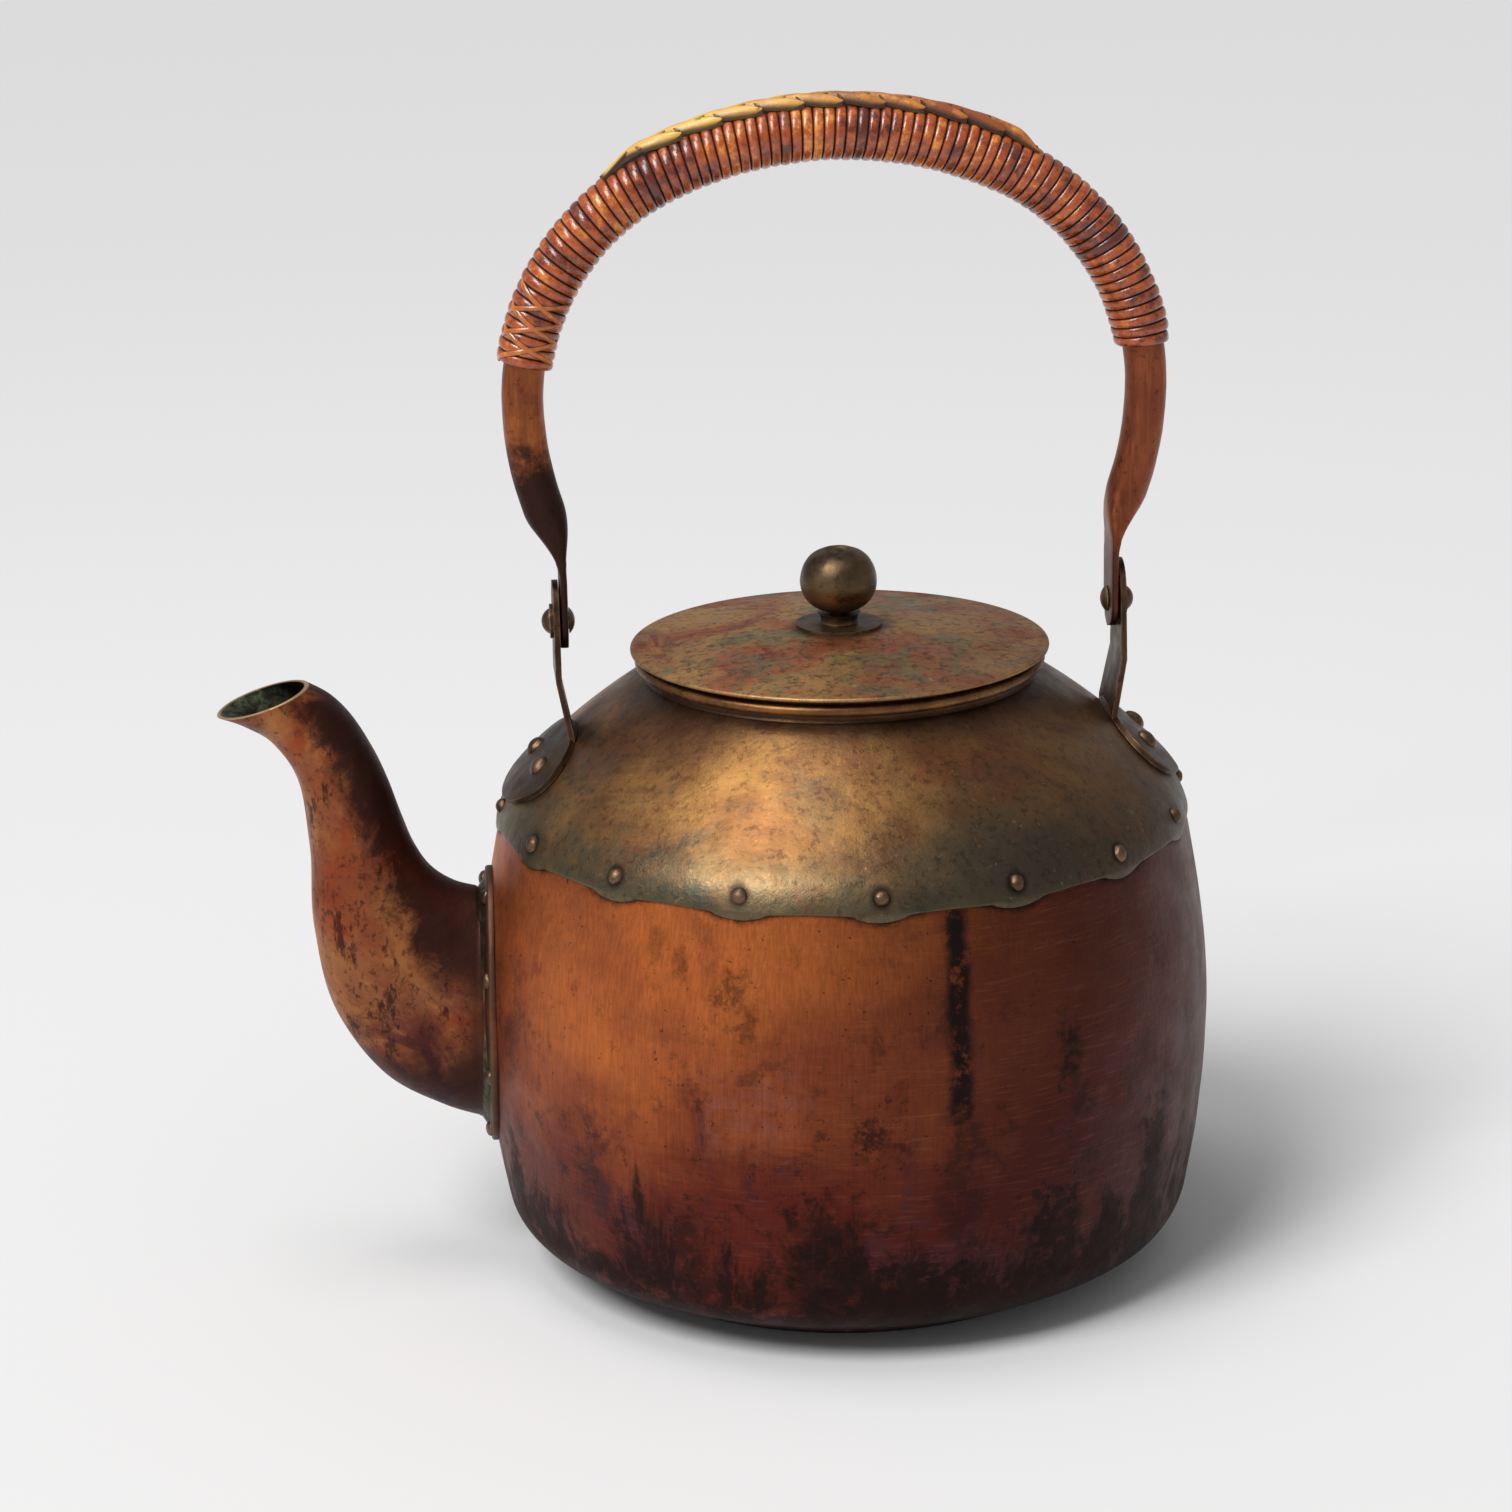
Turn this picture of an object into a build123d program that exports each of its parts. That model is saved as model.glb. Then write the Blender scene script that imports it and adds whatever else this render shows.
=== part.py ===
from build123d import *
import os
from math import acos, asin, cos, degrees, hypot, radians, sin, sqrt

# A copper kettle with a riveted, scalloped shoulder, a lift-off lid, an S-shaped
# spout and a swinging bail handle wrapped in cane. Millimetres, +Z up, origin at
# the centre of the flat base. The spout points along -X, and the bail and its
# two ears lie in the XZ plane, so the object is symmetric about that plane.

# ---- driving dimensions -------------------------------------------------------
BELLY_R = 95.0            # largest outer radius of the body
BELLY_Z = 68.0            # height of that radius
BODY_WALL = 1.2
SHOULDER_WALL = 1.0
# The side is a chain of tangent arcs seen in section. Each arc has a radius and
# ends where its outward normal makes the given angle with the horizontal.
LOWER_ARC, LOWER_END = 250.0, -11.5
CORNER_ARC, CORNER_END = 13.0, -62.0
FLANK_ARC, FLANK_END = 195.0, 15.0
BEND_ARC, BEND_END = 22.0, 44.0
DOME_ARC, DOME_END = 170.0, 58.3
BODY_TOP_DEG = 38.0       # the body's edge, under the shoulder, on the bend arc
SHOULDER_LOW_DEG = 14.2   # the shoulder's edge before it is scalloped

RIVET_COUNT = 16          # the row round the shoulder
RIVET_DEG = 25.8          # place of the row on the bend arc
SCALLOP_LOW_Z = 117.3     # bottom of a lobe, under a rivet
SCALLOP_HIGH_Z = 120.3    # top of the wave, between two rivets

NECK_R = 50.2             # outer radius of the upright neck
NECK_WALL = 1.0
NECK_TOP = 161.2
BEAD_R = 1.5              # wire bead round the neck
BEAD_Z = 158.8

LID_R = 53.6
LID_RIM_Z = 162.1         # middle of the rim's thickness
LID_WALL = 1.1
LID_CROWN_ARC = 319.0     # radius of the shallow dome
SKIRT_R = 48.6
SKIRT_WALL = 1.0
SKIRT_LOW_Z = 149.5
BOSS_R = 11.0
BOSS_H = 0.9
COLLAR_R = 5.6
KNOB_R = 10.1
KNOB_LOW_Z = 170.6
KNOB_MID_Z = 178.5
KNOB_TOP_Z = 187.5
KNOB_STEM_R = 2.2

PIVOT_Z = 171.2           # axis of the bail's two pivots
PIVOT_R = 2.2
RUNNING_FIT = 0.08        # radial clearance of the bail on its pivots
SIDE_PLAY = 0.3           # gap between the bail's tabs and what is beside them
EAR_X = 72.3              # middle of the ear's upright strap
EAR_WALL = 1.5
EAR_TIP_Z = 181.8
EAR_FOLD = (69.7, 143.2)  # where the strap folds out on to the shoulder
EAR_KNEE_Z = 157.0        # the strap is upright above this
FOOT_HALF_WIDTH = 20.3
FOOT_HALF_LENGTH = 13.0
FOOT_DEG = 46.8           # place of the foot's middle on the dome arc
EAR_RIVET_SPREAD = 6.5    # degrees round the shoulder, each side of the middle

BAIL_TUBE_R = 5.4
BAIL_TOP_Z = 293.3        # centreline of the tube at the top
BAIL_TOP_ARC, BAIL_TOP_TURN = 101.0, 25.5
BAIL_CORNER_ARC = 62.0
BAIL_LEG_ARC = 84.0
BAIL_FOOT_ARC = 44.0
TAB_THICK = 2.0
TAB_HALF_WIDTH = 7.2
TUBE_END_Z = 200.0        # below this the tube is hammered flat
TAB_START_Z = 185.0

WRAP_R = 7.4              # outside of the cane on the tube
WRAP_END_Z = 237.5
BRAID_HALF_WIDTH = 4.6
BRAID_R = 10.6            # outside of the braid, from the tube's centreline
BRAID_TURN_LEFT = 37.0    # how far each end of the braid reaches from the top
BRAID_TURN_RIGHT = 30.0

SPOUT_WALL = 1.2
SPOUT_FLANGE = 6.5
SPOUT_Z = 69.0            # middle of the oval where the spout meets the body
SPOUT_HALF_HEIGHT = 30.6
SPOUT_HALF_WIDTH = 17.0
SPOUT_RIVETS = 8
SPOUT_STEPS = 4           # sections worked out for each given one
# Sections of the spout from the body to the mouth: the point on its outer side,
# the point on its inner side, and half its width across.
SPOUT_SECTIONS = [
    ((-86.0, 37.2), (-86.0, 101.2), 17.2),
    ((-103.0, 40.8), (-99.5, 102.4), 16.9),
    ((-121.0, 51.4), (-105.8, 107.4), 16.2),
    ((-133.6, 70.6), (-109.8, 113.6), 14.9),
    ((-137.6, 93.0), (-112.6, 120.8), 13.1),
    ((-137.6, 116.0), (-115.8, 130.2), 11.6),
    ((-139.6, 132.6), (-119.4, 139.4), 10.5),
    ((-145.4, 142.6), (-124.0, 147.4), 10.8),
    ((-152.8, 147.6), (-129.6, 153.6), 11.7),
    ((-159.2, 150.2), (-135.4, 157.3), 12.2),
]


# ---- the body's section as a chain of arcs ------------------------------------
def on_arc(centre, radius, turn):
    """The point of an arc whose normal is turned up from the horizontal."""
    return (centre[0] + radius * cos(radians(turn)), centre[1] + radius * sin(radians(turn)))


def tangent_centre(centre, radius, turn, new_radius):
    """The centre of an arc that carries on smoothly from the end of another."""
    x, z = on_arc(centre, radius, turn)
    return (x - new_radius * cos(radians(turn)), z - new_radius * sin(radians(turn)))


FLANK_C = (BELLY_R - FLANK_ARC, BELLY_Z)
BEND_C = tangent_centre(FLANK_C, FLANK_ARC, FLANK_END, BEND_ARC)
DOME_C = tangent_centre(BEND_C, BEND_ARC, BEND_END, DOME_ARC)
LOWER_C = (BELLY_R - LOWER_ARC, BELLY_Z)
CORNER_C = tangent_centre(LOWER_C, LOWER_ARC, LOWER_END, CORNER_ARC)


def arc_edge(centre, radius, start, end):
    return CenterArc((centre[0], centre[1]), radius, start, end - start)


def side_chain(offset, start, end):
    """Edges of the upper side, offset outward, between two turns of the normal."""
    stretches = [(FLANK_C, FLANK_ARC, 0.0, FLANK_END), (BEND_C, BEND_ARC, FLANK_END, BEND_END),
                 (DOME_C, DOME_ARC, BEND_END, DOME_END)]
    edges = []
    for centre, radius, low, high in stretches:
        first = max(low, start)
        last = min(high, end)
        if last > first:
            edges.append(arc_edge(centre, radius + offset, first, last))
    return edges


def side_point(offset, turn):
    """A point of the upper side as (radius, height)."""
    if turn <= FLANK_END:
        return on_arc(FLANK_C, FLANK_ARC + offset, turn)
    if turn <= BEND_END:
        return on_arc(BEND_C, BEND_ARC + offset, turn)
    return on_arc(DOME_C, DOME_ARC + offset, turn)


def spin(edges):
    """Revolve a closed outline, drawn as (radius, height), about the Z axis."""
    outline = [Plane.XZ * edge for edge in edges]
    return revolve(make_face(outline), Axis.Z)


def spin_polygon(points):
    closed = points + [points[0]]
    return spin([Line(a, b) for a, b in zip(closed, closed[1:])])


def band(inner, outer, start, end):
    """A revolved sheet between two offsets of the upper side."""
    edges = side_chain(inner, start, end) + side_chain(outer, start, end)
    edges.append(Line(side_point(inner, start), side_point(outer, start)))
    edges.append(Line(side_point(inner, end), side_point(outer, end)))
    return spin(edges)


# ---- body and shoulder ----------------------------------------------------------
def cone_foot(radius, floor):
    """Where the straight cone below the corner arc meets a level floor."""
    x, z = on_arc(CORNER_C, radius, CORNER_END)
    run = (z - floor) / cos(radians(CORNER_END))
    return (x + run * sin(radians(CORNER_END)), floor)


def body_blank():
    """The lower body, raised from one sheet with its flat base."""
    edges = []
    for inset in (0.0, BODY_WALL):
        floor = inset
        corner = on_arc(CORNER_C, CORNER_ARC - inset, CORNER_END)
        foot = cone_foot(CORNER_ARC - inset, floor)
        edges.append(Line((0, floor), foot))
        edges.append(Line(foot, corner))
        edges.append(arc_edge(CORNER_C, CORNER_ARC - inset, CORNER_END, LOWER_END))
        edges.append(arc_edge(LOWER_C, LOWER_ARC - inset, LOWER_END, 0.0))
        edges += side_chain(-inset, 0.0, BODY_TOP_DEG)
    edges.append(Line((0, 0), (0, BODY_WALL)))
    edges.append(Line(side_point(0, BODY_TOP_DEG), side_point(-BODY_WALL, BODY_TOP_DEG)))
    return spin(edges)


def body_core():
    """Everything inside the body's outer surface, for trimming what lies on it."""
    edges = side_chain(0.0, 0.0, DOME_END)
    edges.append(arc_edge(LOWER_C, LOWER_ARC, LOWER_END, 0.0))
    low = on_arc(LOWER_C, LOWER_ARC, LOWER_END)
    top = side_point(0.0, DOME_END)
    edges.append(Line(low, (0, low[1])))
    edges.append(Line((0, low[1]), (0, top[1])))
    edges.append(Line((0, top[1]), top))
    return spin(edges)


def shoulder_blank():
    """The upper sheet with the upright neck that it is drawn up into."""
    edges = side_chain(0.0, SHOULDER_LOW_DEG, DOME_END)
    edges += side_chain(SHOULDER_WALL, SHOULDER_LOW_DEG, DOME_END)
    edges.append(Line(side_point(0, SHOULDER_LOW_DEG), side_point(SHOULDER_WALL, SHOULDER_LOW_DEG)))
    inner = side_point(0, DOME_END)
    outer = side_point(SHOULDER_WALL, DOME_END)
    edges.append(Line(outer, (NECK_R, outer[1])))
    edges.append(Line((NECK_R, outer[1]), (NECK_R, NECK_TOP)))
    edges.append(Line((NECK_R, NECK_TOP), (NECK_R - NECK_WALL, NECK_TOP)))
    edges.append(Line((NECK_R - NECK_WALL, NECK_TOP), (NECK_R - NECK_WALL, inner[1])))
    edges.append(Line((NECK_R - NECK_WALL, inner[1]), inner))
    return spin(edges)


def scallop_cutters():
    """Prisms that cut the wave between the lobes of the shoulder's lower edge."""
    edge_r = side_point(SHOULDER_WALL, SHOULDER_LOW_DEG)[0]
    half = edge_r * sin(radians(180.0 / RIVET_COUNT))
    rise = (SCALLOP_HIGH_Z - SCALLOP_LOW_Z) / 2
    arc_r = ((half / 2) ** 2 + rise ** 2) / (2 * rise)
    mid_z = SCALLOP_LOW_Z + rise
    deep = SCALLOP_LOW_Z - 5
    left = wave_point(half, arc_r, -0.75)
    right = wave_point(half, arc_r, 0.75)
    wave = [
        ThreePointArc((-half, SCALLOP_LOW_Z), left, (-half / 2, mid_z)),
        ThreePointArc((-half / 2, mid_z), (0, SCALLOP_HIGH_Z), (half / 2, mid_z)),
        ThreePointArc((half / 2, mid_z), right, (half, SCALLOP_LOW_Z)),
        Polyline((half, SCALLOP_LOW_Z), (half + 1, SCALLOP_LOW_Z), (half + 1, deep), (-half - 1, deep),
                 (-half - 1, SCALLOP_LOW_Z), (-half, SCALLOP_LOW_Z)),
    ]
    face = make_face([Plane.XZ * edge for edge in wave])
    prism = Pos(0, -edge_r, 0) * extrude(face, 12, both=True)
    pitch = 360.0 / RIVET_COUNT
    return [Rot(0, 0, pitch * (k + 0.5) + 90) * prism for k in range(RIVET_COUNT)]


def wave_point(half, arc_r, share):
    """A point on the lobe's arc, at a share of the half pitch from the valley."""
    x = share * half
    off = half - abs(x)
    return (x, SCALLOP_LOW_Z + arc_r - sqrt(arc_r ** 2 - off ** 2))


# ---- rivets ---------------------------------------------------------------------
def dome(radius, height):
    """A spherical cap standing on the XY plane."""
    ball_r = (radius ** 2 + height ** 2) / (2 * height)
    ball = Pos(0, 0, height - ball_r) * Sphere(ball_r)
    return ball & Cylinder(radius + 1, height, align=(Align.CENTER, Align.CENTER, Align.MIN))


def surface_plane(azimuth, radius, height, turn):
    """A plane on a surface of revolution, with its Z along the outward normal."""
    out = Vector(cos(radians(turn)) * cos(radians(azimuth)),
                 cos(radians(turn)) * sin(radians(azimuth)), sin(radians(turn)))
    across = Vector(-sin(radians(azimuth)), cos(radians(azimuth)), 0)
    spot = Vector(radius * cos(radians(azimuth)), radius * sin(radians(azimuth)), height)
    return Plane(origin=spot, x_dir=across, z_dir=out)


def shank(plane, radius, grip):
    """The straight part of a rivet, through the sheets that it joins."""
    return plane * Pos(0, 0, 0.3) * Cylinder(radius, grip + 0.7, align=(Align.CENTER, Align.CENTER, Align.MAX))


def rivet(plane, grip, head_r, head_h, shank_r, sheets):
    """A domed head outside, a flat peened tail inside, both seated on the sheets."""
    seat = Cylinder(head_r, 0.8, align=(Align.CENTER, Align.CENTER, Align.MAX))
    tail = Pos(0, 0, -grip + 0.5) * Cylinder(head_r * 0.9, 1.3, align=(Align.CENTER, Align.CENTER, Align.MAX))
    ends = plane * (dome(head_r, head_h) + seat) + plane * tail
    for sheet in sheets:
        ends = ends - sheet
    return ends + shank(plane, shank_r, grip)


# ---- ears and pivots ------------------------------------------------------------
def ear_foot():
    """The oval foot that lies on the shoulder, for the ear on the +X side."""
    sheet = band(SHOULDER_WALL, SHOULDER_WALL + EAR_WALL, FLANK_END + 1, DOME_END - 1)
    middle = side_point(SHOULDER_WALL, FOOT_DEG)
    plane = surface_plane(0, middle[0], middle[1], FOOT_DEG)
    oval = plane * Ellipse(FOOT_HALF_WIDTH, FOOT_HALF_LENGTH)
    return sheet & extrude(oval, 8, both=True)


def ear_strap(core):
    """The upright strap, tapered to a round tip."""
    half = EAR_WALL / 2
    fold_x, fold_z = EAR_FOLD
    side = make_face(Plane.XZ * Polyline(
        (fold_x - half, fold_z - 2.5), (fold_x - half, fold_z), (EAR_X - half, EAR_KNEE_Z),
        (EAR_X - half, EAR_TIP_Z), (EAR_X + half, EAR_TIP_Z), (EAR_X + half, EAR_KNEE_Z),
        (fold_x + half, fold_z), (fold_x + half, fold_z - 2.5), close=True))
    blade = extrude(side, 15, both=True)
    tip_r = 7.0
    front = Plane.YZ * (Pos(0, EAR_TIP_Z - tip_r) * Circle(tip_r)
                        + make_face(Polyline((-10.5, fold_z - 4), (10.5, fold_z - 4),
                                             (tip_r, EAR_TIP_Z - tip_r), (-tip_r, EAR_TIP_Z - tip_r),
                                             close=True)))
    return (blade & extrude(front, 100)) - core


def pivot_hole(radius, start, end):
    """A bar along X at the pivot's height, between two distances from the axis."""
    plane = Plane(origin=(start, 0, PIVOT_Z), z_dir=(1, 0, 0))
    return plane * Cylinder(radius, end - start, align=(Align.CENTER, Align.CENTER, Align.MIN))


STRAP_OUT = EAR_X + EAR_WALL / 2
STRAP_IN = EAR_X - EAR_WALL / 2
TAB_OUT = STRAP_IN - SIDE_PLAY
TAB_IN = TAB_OUT - TAB_THICK
TAB_X = (TAB_OUT + TAB_IN) / 2
WASHER_H = 0.8


def pivot_washer():
    return pivot_hole(4.4, STRAP_OUT, STRAP_OUT + WASHER_H) - pivot_hole(PIVOT_R, STRAP_OUT - 1, STRAP_OUT + 2)


def pivot_rivet():
    """Domed head on the washer outside the ear, peened end inside the bail's tab."""
    head_plane = Plane(origin=(STRAP_OUT + WASHER_H, 0, PIVOT_Z), z_dir=(1, 0, 0))
    tail_plane = Plane(origin=(TAB_IN - SIDE_PLAY, 0, PIVOT_Z), z_dir=(-1, 0, 0))
    stem = pivot_hole(PIVOT_R, TAB_IN - SIDE_PLAY - 0.5, STRAP_OUT + WASHER_H + 0.5)
    return stem + head_plane * dome(3.3, 2.1) + tail_plane * dome(3.4, 1.5)


# ---- bail -----------------------------------------------------------------------
BAIL_TOP_C = (0.0, BAIL_TOP_Z - BAIL_TOP_ARC)
TOP_END = (BAIL_TOP_ARC * sin(radians(BAIL_TOP_TURN)),
           BAIL_TOP_C[1] + BAIL_TOP_ARC * cos(radians(BAIL_TOP_TURN)))
BAIL_CORNER_C = (TOP_END[0] - BAIL_CORNER_ARC * sin(radians(BAIL_TOP_TURN)),
                 TOP_END[1] - BAIL_CORNER_ARC * cos(radians(BAIL_TOP_TURN)))
BULGE_X = BAIL_CORNER_C[0] + BAIL_CORNER_ARC
LEG_C = (BULGE_X - BAIL_LEG_ARC, BAIL_CORNER_C[1])
LEG_TURN = degrees(acos(1 - (BULGE_X - TAB_X) / (BAIL_LEG_ARC + BAIL_FOOT_ARC)))


def leg_turn_at(height):
    """Turn of the leg's arc at a height below the bulge."""
    return -degrees(asin((LEG_C[1] - height) / BAIL_LEG_ARC))


def corner_turn_at(height):
    return degrees(asin((height - BAIL_CORNER_C[1]) / BAIL_CORNER_ARC))


def bail_ring(section, centre, turn, start, end):
    """Sweep a section, drawn at (radius, across), along an arc in the XZ plane."""
    plane = Plane(origin=(centre[0], 0, centre[1]), x_dir=(cos(radians(start)), 0, sin(radians(start))),
                  z_dir=(sin(radians(start)), 0, -cos(radians(start))))
    axis = Axis((centre[0], 0, centre[1]), (0, -1, 0))
    return revolve(plane * Pos(turn, 0) * section, axis, revolution_arc=end - start)


def bail_sweep(section, left_end, right_end):
    """A section carried along the top of the bail. Each end is the turn on the
    corner's arc where it stops, 0 being the widest point of the leg."""
    top = bail_ring(section, BAIL_TOP_C, BAIL_TOP_ARC, 90 - BAIL_TOP_TURN, 90 + BAIL_TOP_TURN)
    right = bail_ring(section, BAIL_CORNER_C, BAIL_CORNER_ARC, right_end, 90 - BAIL_TOP_TURN)
    left = bail_ring(section, BAIL_CORNER_C, BAIL_CORNER_ARC, left_end, 90 - BAIL_TOP_TURN)
    return top + right + mirror(left, Plane.YZ)


def flattened_leg():
    """The hammered end of the tube, from round to a flat tab with a round end."""
    turn = leg_turn_at(TUBE_END_Z)
    top = on_arc(LEG_C, BAIL_LEG_ARC, turn)
    slope = Vector(sin(radians(turn)), 0, -cos(radians(turn)))
    sections = [
        Plane(origin=(top[0], 0, top[1]), x_dir=(0, 1, 0), z_dir=slope) * Circle(BAIL_TUBE_R),
        Plane(origin=(TAB_X + 1.6, 0, 192.0), x_dir=(0, 1, 0), z_dir=(-0.25, 0, -1)) * Ellipse(6.6, 3.4),
        Plane(origin=(TAB_X, 0, TAB_START_Z), x_dir=(0, 1, 0), z_dir=(0, 0, -1)) * Ellipse(7.6, 1.25),
    ]
    horn = loft(sections)
    blade = Plane.YZ * (make_face(Polyline((-TAB_HALF_WIDTH, PIVOT_Z), (TAB_HALF_WIDTH, PIVOT_Z),
                                           (TAB_HALF_WIDTH, TAB_START_Z + 1), (-TAB_HALF_WIDTH, TAB_START_Z + 1),
                                           close=True)) + Pos(0, PIVOT_Z) * Circle(TAB_HALF_WIDTH))
    tab = Pos(TAB_IN, 0, 0) * extrude(blade, TAB_THICK)
    hole = pivot_hole(PIVOT_R + RUNNING_FIT, TAB_IN - 1, TAB_OUT + 1)
    return horn + tab - hole


def bail_tube():
    round_bar = Circle(BAIL_TUBE_R)
    arch = bail_sweep(round_bar, 0.0, 0.0)
    leg = bail_ring(round_bar, LEG_C, BAIL_LEG_ARC, leg_turn_at(TUBE_END_Z), 0.0) + flattened_leg()
    return arch + leg + mirror(leg, Plane.YZ)


def cane_wrap():
    """The cane wound close round the tube, as a plain sleeve."""
    sleeve = Circle(WRAP_R) - Circle(BAIL_TUBE_R)
    end = corner_turn_at(WRAP_END_Z)
    return bail_sweep(sleeve, end, end)


def cane_braid():
    """The plaited strip bound along the outside of the top."""
    strip = Pos(BRAID_R - 3.6, 0) * RectangleRounded(7.2, 2 * BRAID_HALF_WIDTH, 2.0)
    strip = strip - Circle(WRAP_R)
    return bail_sweep(strip, 90 - BRAID_TURN_LEFT, 90 - BRAID_TURN_RIGHT)


# ---- spout ----------------------------------------------------------------------
def blend(before, start, end, after, share):
    """A value on a smooth curve from start to end, led by its neighbours."""
    bend = 2 * before - 5 * start + 4 * end - after
    twist = 3 * start - before - 3 * end + after
    return start + 0.5 * ((end - before) * share + bend * share ** 2 + twist * share ** 3)


def spout_ovals(inset):
    """Closely spaced sections as a list of (plane, half length, half width), set in by a wall."""
    given = [(*outer, *inner, half_width) for outer, inner, half_width in SPOUT_SECTIONS]
    last = len(given) - 1
    ovals = []
    for k in range(last * SPOUT_STEPS + 1):
        low = min(k // SPOUT_STEPS, last - 1)
        four = [given[min(max(low + n, 0), last)] for n in (-1, 0, 1, 2)]
        outer_x, outer_z, inner_x, inner_z, half_width = [
            blend(*values, k / SPOUT_STEPS - low) for values in zip(*four)]
        length = hypot(inner_x - outer_x, inner_z - outer_z)
        along = Vector((inner_x - outer_x) / length, 0, (inner_z - outer_z) / length)
        ahead = Vector(-along.Z, 0, along.X)
        middle = Vector((outer_x + inner_x) / 2, 0, (outer_z + inner_z) / 2)
        plane = Plane(origin=middle, x_dir=along, z_dir=ahead)
        half_width = min(half_width, length / 2 - 0.05)
        ovals.append((plane, length / 2 - inset, half_width - inset))
    return ovals


def oval_face(plane, half_length, half_width):
    """An oval face with its edge in four smooth quarters, all starting alike."""
    quarters = []
    for number in range(4):
        turns = [radians(90 * (number + k / 6)) for k in range(7)]
        points = [(half_length * cos(turn), half_width * sin(turn)) for turn in turns]
        ends = [(-half_length * sin(turn), half_width * cos(turn)) for turn in (turns[0], turns[-1])]
        quarters.append(Spline(*points, tangents=ends))
    return plane * make_face(quarters)


def spout_solid(inset, lead):
    """The spout as one solid. A lead carries each open end further, so that a
    bore cuts right through."""
    ovals = spout_ovals(inset)
    if lead:
        plane, half_length, half_width = ovals[0]
        ovals.insert(0, (plane.offset(-lead), half_length, half_width))
        plane, half_length, half_width = ovals[-1]
        ovals.append((plane.offset(lead), half_length, half_width))
    return loft([oval_face(*oval) for oval in ovals], ruled=True)


def spout_oval(half_height, half_width, start, end):
    """A bar of oval section along X through the body's wall at the spout."""
    plane = Plane(origin=(start, 0, SPOUT_Z), x_dir=(0, 1, 0), z_dir=(-1, 0, 0))
    return extrude(plane * Ellipse(half_width, half_height), start - end)


def flange_sheet():
    """The body's outer surface thickened outward, at the height of the spout."""
    edges = []
    for offset in (0.0, SPOUT_WALL):
        edges.append(arc_edge(LOWER_C, LOWER_ARC + offset, LOWER_END, 0.0))
        edges += side_chain(offset, 0.0, FLANK_END - 1.5)
    for turn, centre, radius in ((LOWER_END, LOWER_C, LOWER_ARC), (FLANK_END - 1.5, FLANK_C, FLANK_ARC)):
        edges.append(Line(on_arc(centre, radius, turn), on_arc(centre, radius + SPOUT_WALL, turn)))
    return spin(edges)


def spout(core):
    bore = spout_solid(SPOUT_WALL, 3.0)
    lip = flange_sheet() & spout_oval(SPOUT_HALF_HEIGHT + SPOUT_FLANGE, SPOUT_HALF_WIDTH + SPOUT_FLANGE, -60, -110)
    return (spout_solid(0.0, 0.0) - bore - core) + (lip - bore)


def spout_rivet_planes():
    """Eight seats round the flange, half way across it."""
    planes = []
    for k in range(SPOUT_RIVETS):
        turn = radians((k + 0.5) * 360 / SPOUT_RIVETS)
        y = (SPOUT_HALF_WIDTH + SPOUT_FLANGE / 2 + 0.6) * cos(turn)
        z = SPOUT_Z + (SPOUT_HALF_HEIGHT + SPOUT_FLANGE / 2 + 0.6) * sin(turn)
        centre, radius = (FLANK_C, FLANK_ARC) if z > BELLY_Z else (LOWER_C, LOWER_ARC)
        tilt = degrees(asin((z - BELLY_Z) / (radius + SPOUT_WALL)))
        ring_r = centre[0] + (radius + SPOUT_WALL) * cos(radians(tilt))
        azimuth = 180 - degrees(asin(y / ring_r))
        planes.append(surface_plane(azimuth, ring_r, z, tilt))
    return planes


# ---- lid and knob ---------------------------------------------------------------
LID_C = (0.0, LID_RIM_Z - sqrt(LID_CROWN_ARC ** 2 - LID_R ** 2))
CROWN_Z = LID_C[1] + LID_CROWN_ARC


def crown_z(radius, offset):
    """Height of the lid's domed sheet at a radius."""
    return LID_C[1] + sqrt((LID_CROWN_ARC + offset) ** 2 - radius ** 2)


def lid_sheet(low, high, radius):
    """A domed disc between two offsets from the middle of the lid's sheet."""
    top = crown_z(radius, high)
    base = crown_z(radius, low)
    edges = [
        ThreePointArc((0, crown_z(0, low)), (radius / 2, crown_z(radius / 2, low)), (radius, base)),
        Line((radius, base), (radius, top)),
        ThreePointArc((radius, top), (radius / 2, crown_z(radius / 2, high)), (0, crown_z(0, high))),
        Line((0, crown_z(0, high)), (0, crown_z(0, low))),
    ]
    return spin(edges)


def lid_skirt():
    """The ring under the lid that drops into the neck."""
    ring = spin_polygon([(SKIRT_R - SKIRT_WALL, SKIRT_LOW_Z), (SKIRT_R, SKIRT_LOW_Z),
                         (SKIRT_R, LID_RIM_Z + 2), (SKIRT_R - SKIRT_WALL, LID_RIM_Z + 2)])
    return ring - lid_sheet(-LID_WALL / 2, 20, LID_R + 5)


def stem_hole(low, high):
    return Pos(0, 0, low) * Cylinder(KNOB_STEM_R, high - low, align=(Align.CENTER, Align.CENTER, Align.MIN))


def knob_boss():
    """The thin round plate on the lid under the knob."""
    return lid_sheet(LID_WALL / 2, LID_WALL / 2 + BOSS_H, BOSS_R) - stem_hole(160, 190)


def knob_collar():
    """The small neck between boss and knob, waisted."""
    base = lid_sheet(-20, LID_WALL / 2 + BOSS_H, BOSS_R + 5)
    edges = [
        Line((0, CROWN_Z), (COLLAR_R + 0.6, CROWN_Z)),
        ThreePointArc((COLLAR_R + 0.6, CROWN_Z), (COLLAR_R - 0.9, (CROWN_Z + KNOB_LOW_Z) / 2),
                      (COLLAR_R, KNOB_LOW_Z)),
        Line((COLLAR_R, KNOB_LOW_Z), (0, KNOB_LOW_Z)),
        Line((0, KNOB_LOW_Z), (0, CROWN_Z)),
    ]
    return spin(edges) - base - stem_hole(160, 190)


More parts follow.
